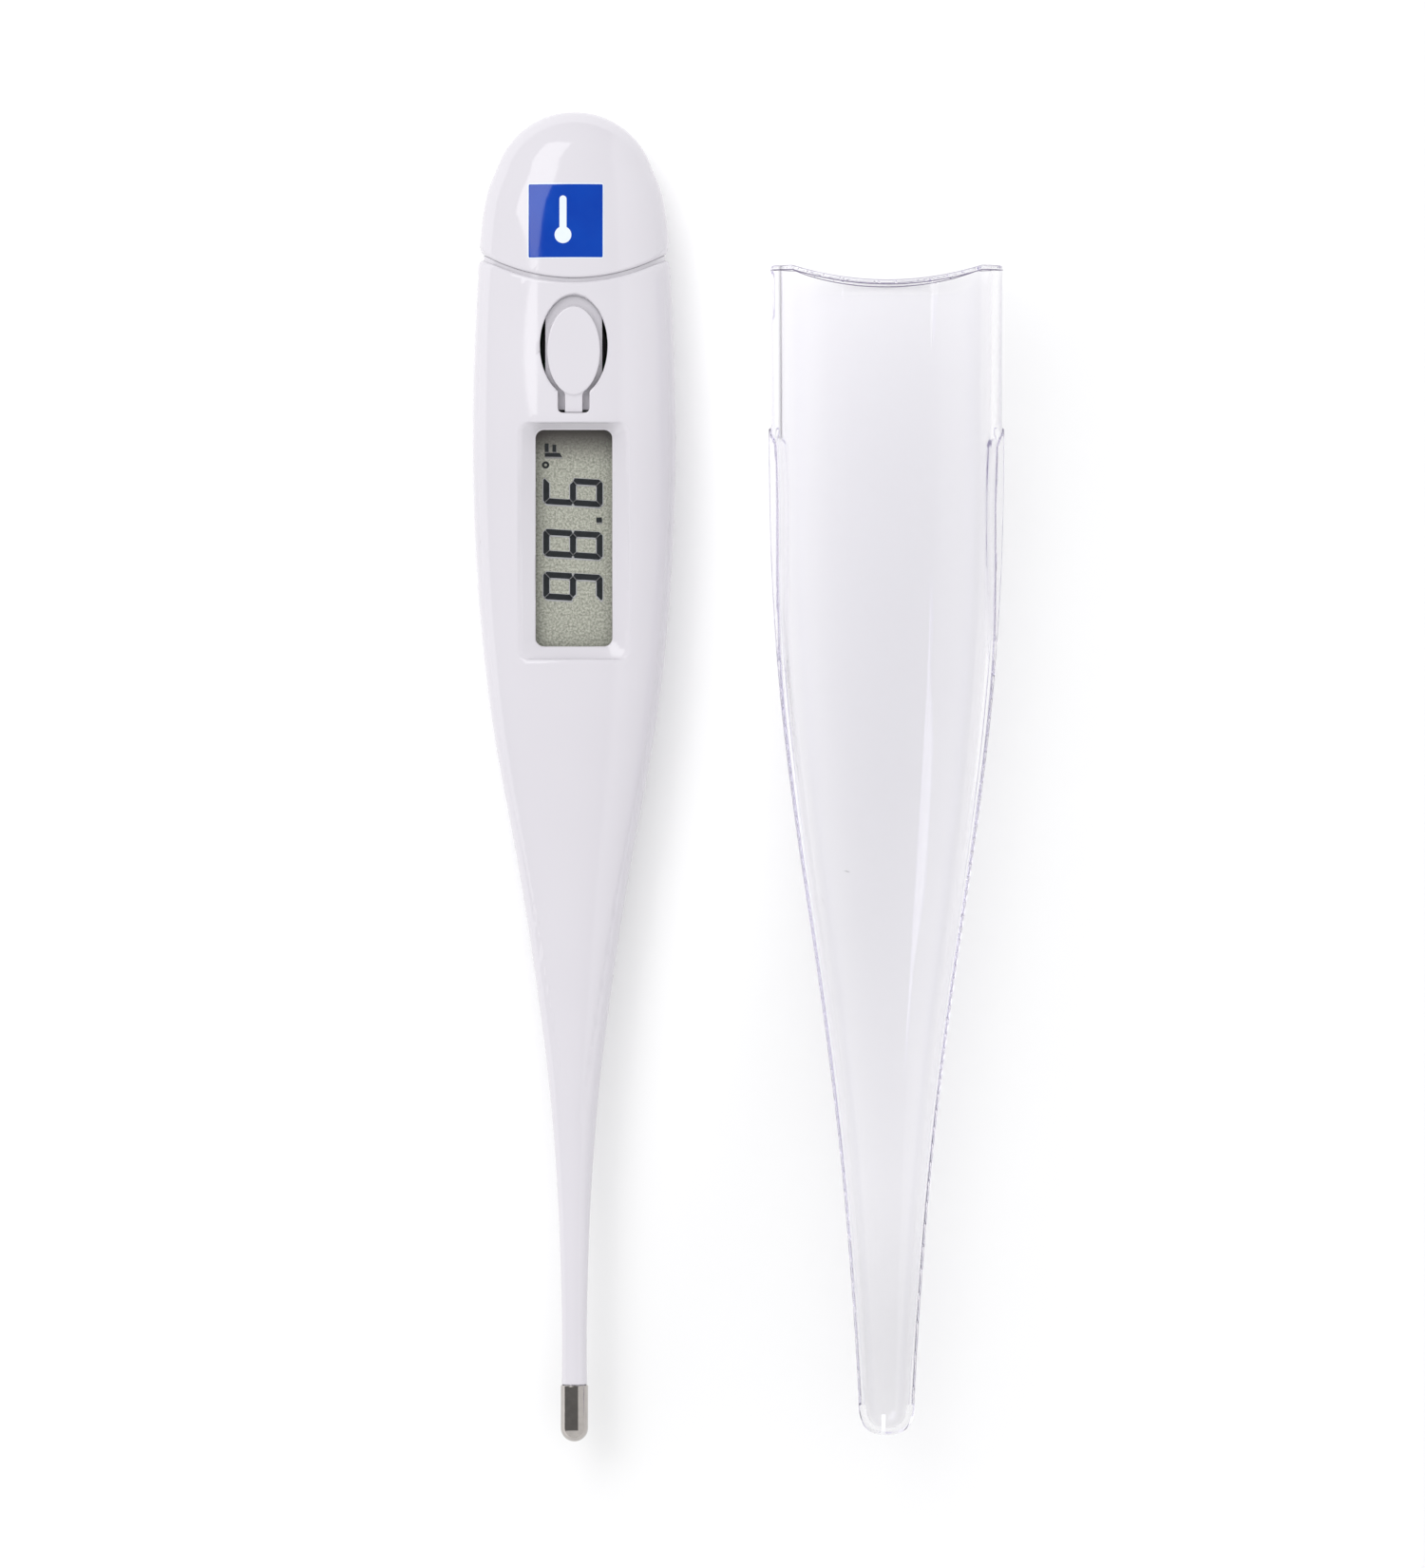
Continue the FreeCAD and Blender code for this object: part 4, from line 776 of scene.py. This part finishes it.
def digit_strokes():
    """The seven strokes of a digit, as outlines in its own right and up directions."""
    h, w, t, c = DIGIT_TALL, DIGIT_WIDE, STROKE, STROKE_CUT
    m = h / 2
    b = [(w, h - c), (w, m + 0.1), (w - t / 2, m), (w - t, m + t / 2), (w - t, h - t), (w - c / 2, h - c / 2)]
    c_stroke = [(w, m - 0.1), (w, c), (w - c / 2, c / 2), (w - t, t), (w - t, m - t / 2), (w - t / 2, m)]
    return {
        "a": [(c, h), (c / 2, h - c / 2), (t, h - t), (w - t, h - t), (w - c / 2, h - c / 2), (w - c, h)],
        "b": b,
        "c": c_stroke,
        "d": [(c, 0), (w - c, 0), (w - c / 2, c / 2), (w - t, t), (t, t), (c / 2, c / 2)],
        "e": [(w - x, y) for x, y in c_stroke][::-1],
        "f": [(w - x, y) for x, y in b][::-1],
        "g": [(t / 2, m), (t, m - t / 2), (w - t, m - t / 2), (w - t / 2, m), (w - t, m + t / 2),
              (t, m + t / 2)],
    }


def edges(outline):
    return zip(outline, [*outline[1:], outline[0]])


def anticlockwise(outline):
    area = sum(a[0] * b[1] - b[0] * a[1] for a, b in edges(outline))
    return outline if area > 0 else outline[::-1]


def shrink(outline, by):
    """A convex outline with each edge moved inwards."""
    lines = []
    for a, b in edges(anticlockwise(outline)):
        d = Vector((b[0] - a[0], b[1] - a[1])).normalized()
        lines.append((Vector((a[0] - d.y * by, a[1] + d.x * by)), d))
    made = []
    for (p, d), (q, e) in zip([lines[-1], *lines[:-1]], lines):
        cross = d.x * e.y - d.y * e.x
        if abs(cross) < TINY:
            made.append(tuple(q))
            continue
        t = ((q.x - p.x) * e.y - (q.y - p.y) * e.x) / cross
        made.append((p.x + d.x * t, p.y + d.y * t))
    return made


def prism(outlines, low, high):
    """Points and faces of upright prisms over outlines."""
    points, faces = [], []
    for outline in outlines:
        ring = anticlockwise(outline)
        n, s = len(ring), len(points)
        points += [(*p, low) for p in ring] + [(*p, high) for p in ring]
        faces.append(tuple(range(s + n - 1, s - 1, -1)))
        faces.append(tuple(range(s + n, s + 2 * n)))
        faces += ring_faces(n, s, s + n)
    return points, faces


def on_display(outline, along, across, slant=SLANT):
    """From a mark's own right and up directions to the display's plane; marks read from the near end."""
    return [(across - up, along + right + slant * up) for right, up in outline]


def number_strokes(inset, shift):
    """The lit strokes of all digits, each shrunk by the inset."""
    strokes = digit_strokes()
    return [on_display(shrink(strokes[s], inset), along + shift, BASELINE)
            for along, lit in DIGITS for s in lit]


face_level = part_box("display_polariser")[1].z / MM
marks = [*number_strokes(0.05, 0), DECIMAL_POINT, *[on_display(part, 7.78, -1.13, 0.02) for part in F_LETTER]]
points, faces = prism(marks, face_level + 0.001, face_level + 0.02)
around = 28
starts = [len(points) + row * around for row in range(4)]
for radius, level in ((DEGREE_OUTER, 0.001), (DEGREE_OUTER, 0.02),
                      (DEGREE_INNER, 0.02), (DEGREE_INNER, 0.001)):
    points += [(x, y, face_level + level) for x, y in circle(*DEGREE_SIGN, radius, around)]
for first, second in zip(starts, [*starts[1:], starts[0]]):
    faces += ring_faces(around, first, second)
add_mesh("display_marks", points, faces, "tray", INK, smooth=False)
# Painted shadows: copies of the marks, shifted and in a dim grey, where the marks' shadow would fall.
shadows = [[(x + 0.05, y - 0.16) for x, y in mark] for mark in marks]
add_mesh("display_mark_shadows", *prism(shadows, face_level + 0.0003, face_level + 0.0008), "tray", PAINTED_MARK_SHADOW,
         smooth=False)
# Painted highlight: the strokes grown and shifted in a pale tone, a light line round and between the marks.
painted_halo = number_strokes(-0.045, -0.045)
add_mesh("display_mark_edges", *prism(painted_halo, face_level + 0.0006, face_level + 0.0009), "tray", PAINTED_HALO,
         smooth=False)


# ---------------------------------------------------------------- the seam's lip
LIP_SECTION = ((17.215, 0.44), (17.235, 0.42), (17.9, 0.42), (17.9, 0.72), (17.215, 0.72))


def seam_lip():
    """The housing's lip: a band under the groove between the cap and the housing, closed on itself."""
    around = 420
    turn = full_turn(around)
    points = []
    for radius, depth in LIP_SECTION:
        y = np.full(around, 25.0)
        for _ in range(30):
            x = (WIDE(y)[0] - depth) * np.cos(turn)
            y = SEAM_CENTRE - np.sqrt(radius ** 2 - x ** 2)
        points += list(zip(x, y, AXIS + (THICK(y)[0] - depth) * np.sin(turn)))
    starts = [row * around for row in range(len(LIP_SECTION))]
    faces = [face for first, second in zip(starts, [*starts[1:], starts[0]])
             for face in ring_faces(around, first, second)]
    add_mesh("seam_lip", points, faces, "housing", MOULDING, smooth=False)


seam_lip()


# ---------------------------------------------------------------- the label
LABEL_X, LABEL_Y = -0.77, 30.17
DECAL_SIZES = (1.0, 1.0, 0.996, *np.linspace(0.97, 0.04, 16))
DECAL_SUNK, DECAL_ROUND = 0.05, 0.006


def cap_top(x, y):
    """Height of the cap's outer surface over a point."""
    a, b = WIDE(y)[0], THICK(y)[0]
    nose = np.sqrt(np.maximum(1 - ((y - NOSE_CENTRE) ** 2 + x ** 2) / NOSE_RADIUS ** 2, 0)) * NOSE_THICK
    barrel = b * np.sqrt(np.maximum(1 - (x / a) ** 2, 0))
    return AXIS + np.where(y > NOSE_FROM, nose, barrel)


def decal(name, outline, lift, material):
    """A thin patch that follows the cap: rings of an outline drawn in to its middle, with a sunk rim."""
    outline = np.array(outline, float)
    middle = outline.mean(0)
    n = len(outline)
    points = []
    for k, size in enumerate(DECAL_SIZES):
        flat = middle + (outline - middle) * size
        raised = {0: -DECAL_SUNK, 1: lift - DECAL_ROUND}.get(k, lift)
        points += [(x, y, z) for (x, y), z in zip(flat, cap_top(flat[:, 0], flat[:, 1]) + raised)]
    faces = [face for k in range(len(DECAL_SIZES) - 1) for face in ring_faces(n, k * n, (k + 1) * n)]
    top, inner = len(points), (len(DECAL_SIZES) - 1) * n
    level = float(cap_top(*middle))
    points += [(*middle, level + lift), (*middle, level - DECAL_SUNK)]
    faces += [(inner + j, inner + (j + 1) % n, top) for j in range(n)]
    faces += [((j + 1) % n, j, top + 1) for j in range(n)]
    add_mesh(name, points, faces, "battery_cover", material)


def rounded(x, y, half_x, half_y, corner):
    """An outline with round corners, anticlockwise, with points along its sides too."""
    steps, made = 14, []
    ways = ((1, -1), (1, 1), (-1, 1), (-1, -1))
    for k, (sx, sy) in enumerate(ways):
        nx, ny = ways[(k + 1) % 4]
        made += arc(x + sx * (half_x - corner), y + sy * (half_y - corner), corner, 90 * k - 90, 90 * k, 6)
        px, py = made[-1]
        qx = px if nx == sx else x + nx * (half_x - corner)
        qy = py if ny == sy else y + ny * (half_y - corner)
        made += [(px + (qx - px) * j / steps, py + (qy - py) * j / steps) for j in range(1, steps)]
    return made


decal("label_border", rounded(LABEL_X, LABEL_Y, 3.64, 3.6, 0.25), 0.012, LABEL_WHITE)
decal("label_patch", rounded(LABEL_X, LABEL_Y, 3.53, 3.49, 0.12), 0.026, LABEL_BLUE)
decal("label_mark_bulb", circle(LABEL_X - 0.25, LABEL_Y - 1.35, 0.8, 40), 0.036, LABEL_WHITE)
decal("label_mark_stem", rounded(LABEL_X - 0.25, LABEL_Y + 0.65, 0.34, 1.75, 0.33), 0.034, LABEL_WHITE)


# ---------------------------------------------------------------- floor
FLOOR_REACH, FLOOR_DROP = 3.0, 0.00002
# Painted shade: the floor's colour darkens towards +x and -y, standing for its light falling off.
SHADE_ACROSS, SHADE_ALONG, PAINTED_SHADE_TO = 40, 95, 0.77

floor_mesh = bpy.data.meshes.new("floor")
corners = [(x * FLOOR_REACH, y * FLOOR_REACH, -FLOOR_DROP) for x, y in ((-1, -1), (1, -1), (1, 1), (-1, 1))]
floor_mesh.from_pydata(corners, [], [(0, 1, 2, 3)])
floor = bpy.data.objects.new("floor", floor_mesh)
bpy.context.scene.collection.objects.link(floor)
floor_paint, tree, shader = new_material("floor_paper")
tint = ramp(tree, noise(tree, 0.02, 2.0), (0.875, 0.875, 0.88), (0.885, 0.885, 0.89))
# Painted shade: the floor's tint is scaled down along a slant, towards +x and -y.
distance = tree.nodes.new("ShaderNodeVectorMath")
distance.operation = "DOT_PRODUCT"
distance.inputs[1].default_value = (1 / (SHADE_ACROSS * MM), -1 / (SHADE_ALONG * MM), 0)
tree.links.new(object_place(tree), distance.inputs[0])
painted_falloff = tree.nodes.new("ShaderNodeVectorMath")
painted_falloff.operation = "SCALE"
tree.links.new(tint, painted_falloff.inputs[0])
tree.links.new(eased(tree, distance.outputs["Value"], 0.0, 1.1, 1.0, PAINTED_SHADE_TO), painted_falloff.inputs["Scale"])
tree.links.new(painted_falloff.outputs["Vector"], shader.inputs["Base Color"])
shader.inputs["Roughness"].default_value = 0.9
shader.inputs["Specular IOR Level"].default_value = 0.1
floor_mesh.materials.append(floor_paint)


# ---------------------------------------------------------------- camera and light, in metres
VIEW_CENTRE, VIEW_HEIGHT = (13.2 * MM, -23.4 * MM), 149.66 * MM
CAMERA_HEIGHT, OBJECT_HEIGHT, SENSOR = 1.0, 6 * MM, 36
KEY_RADIANCE = 2.7
KEY_NEAR_RIGHT, KEY_FAR_RIGHT = Vector((-0.49, 0.07, 1)), Vector((-0.06, 1.17, 1))
KEY_NEAR_LEFT = Vector((-1.19, 0.34, 1))
LEVEL, DARK_ROOM, CARD, RIM = 1.33, 0.2, 0.95, 0.55
HAZE = (0.76, 0.72, 1.0)

camera_data = bpy.data.cameras.new("camera")
camera_data.sensor_width = SENSOR
camera_data.lens = SENSOR * (CAMERA_HEIGHT - OBJECT_HEIGHT) / VIEW_HEIGHT
camera_data.clip_start, camera_data.clip_end = 0.01, 50
camera = bpy.data.objects.new("camera", camera_data)
camera.location = (*VIEW_CENTRE, CAMERA_HEIGHT)
bpy.context.scene.collection.objects.link(camera)
bpy.context.scene.camera = camera

long, wide = KEY_FAR_RIGHT - KEY_NEAR_RIGHT, KEY_NEAR_LEFT - KEY_NEAR_RIGHT
key_data = bpy.data.lights.new("key_light", "AREA")
key_data.shape = "RECTANGLE"
key_data.size, key_data.size_y = wide.length, long.length
key_data.energy = KEY_RADIANCE * math.pi * wide.length * long.length
key_light = bpy.data.objects.new("key_light", key_data)
key_light.location = KEY_NEAR_RIGHT + long / 2 + wide / 2
key_light.rotation_euler = (0, 0, math.atan2(long.y, long.x) - math.pi / 2)
bpy.context.scene.collection.objects.link(key_light)


def studio_world():
    """Even light all round. Polished surfaces see a dark room with white cards right, in front and below.

    What is seen through the clear case goes from the even level overhead to a dimmer lavender at the sides.
    """
    world = bpy.data.worlds.new("studio")
    world.use_nodes = True
    tree = world.node_tree
    sky = tree.nodes["Background"]
    way = split(tree, tree.nodes.new("ShaderNodeTexCoord").outputs["Generated"])
    path = tree.nodes.new("ShaderNodeLightPath").outputs

    def choose(amount, no, yes):
        made = tree.nodes.new("ShaderNodeMix")
        for source, name in ((amount, "Factor"), (no, "A"), (yes, "B")):
            feed(tree, source, made.inputs[name])
        return made.outputs[0]

    cards = maths(tree, "MAXIMUM", eased(tree, way["X"], 0.48, 0.58), eased(tree, way["Y"], -0.26, -0.42))
    cards = maths(tree, "MAXIMUM", cards, eased(tree, way["Z"], 0.04, -0.02))
    reflected = maths(tree, "MULTIPLY_ADD", cards, CARD - DARK_ROOM, DARK_ROOM)
    through = maths(tree, "MULTIPLY_ADD", eased(tree, way["Z"], 0.05, 0.6), LEVEL - RIM, RIM)
    shiny = choose(path["Is Transmission Ray"], reflected, through)
    tree.links.new(choose(path["Is Glossy Ray"], LEVEL, shiny), sky.inputs["Strength"])
    haze = maths(tree, "MULTIPLY", eased(tree, way["Z"], 0.6, 0.05), path["Is Transmission Ray"])
    tree.links.new(mixed(tree, haze, (1, 1, 1), HAZE), sky.inputs["Color"])
    bpy.context.scene.world = world


studio_world()
bpy.context.scene.view_settings.view_transform = "Standard"
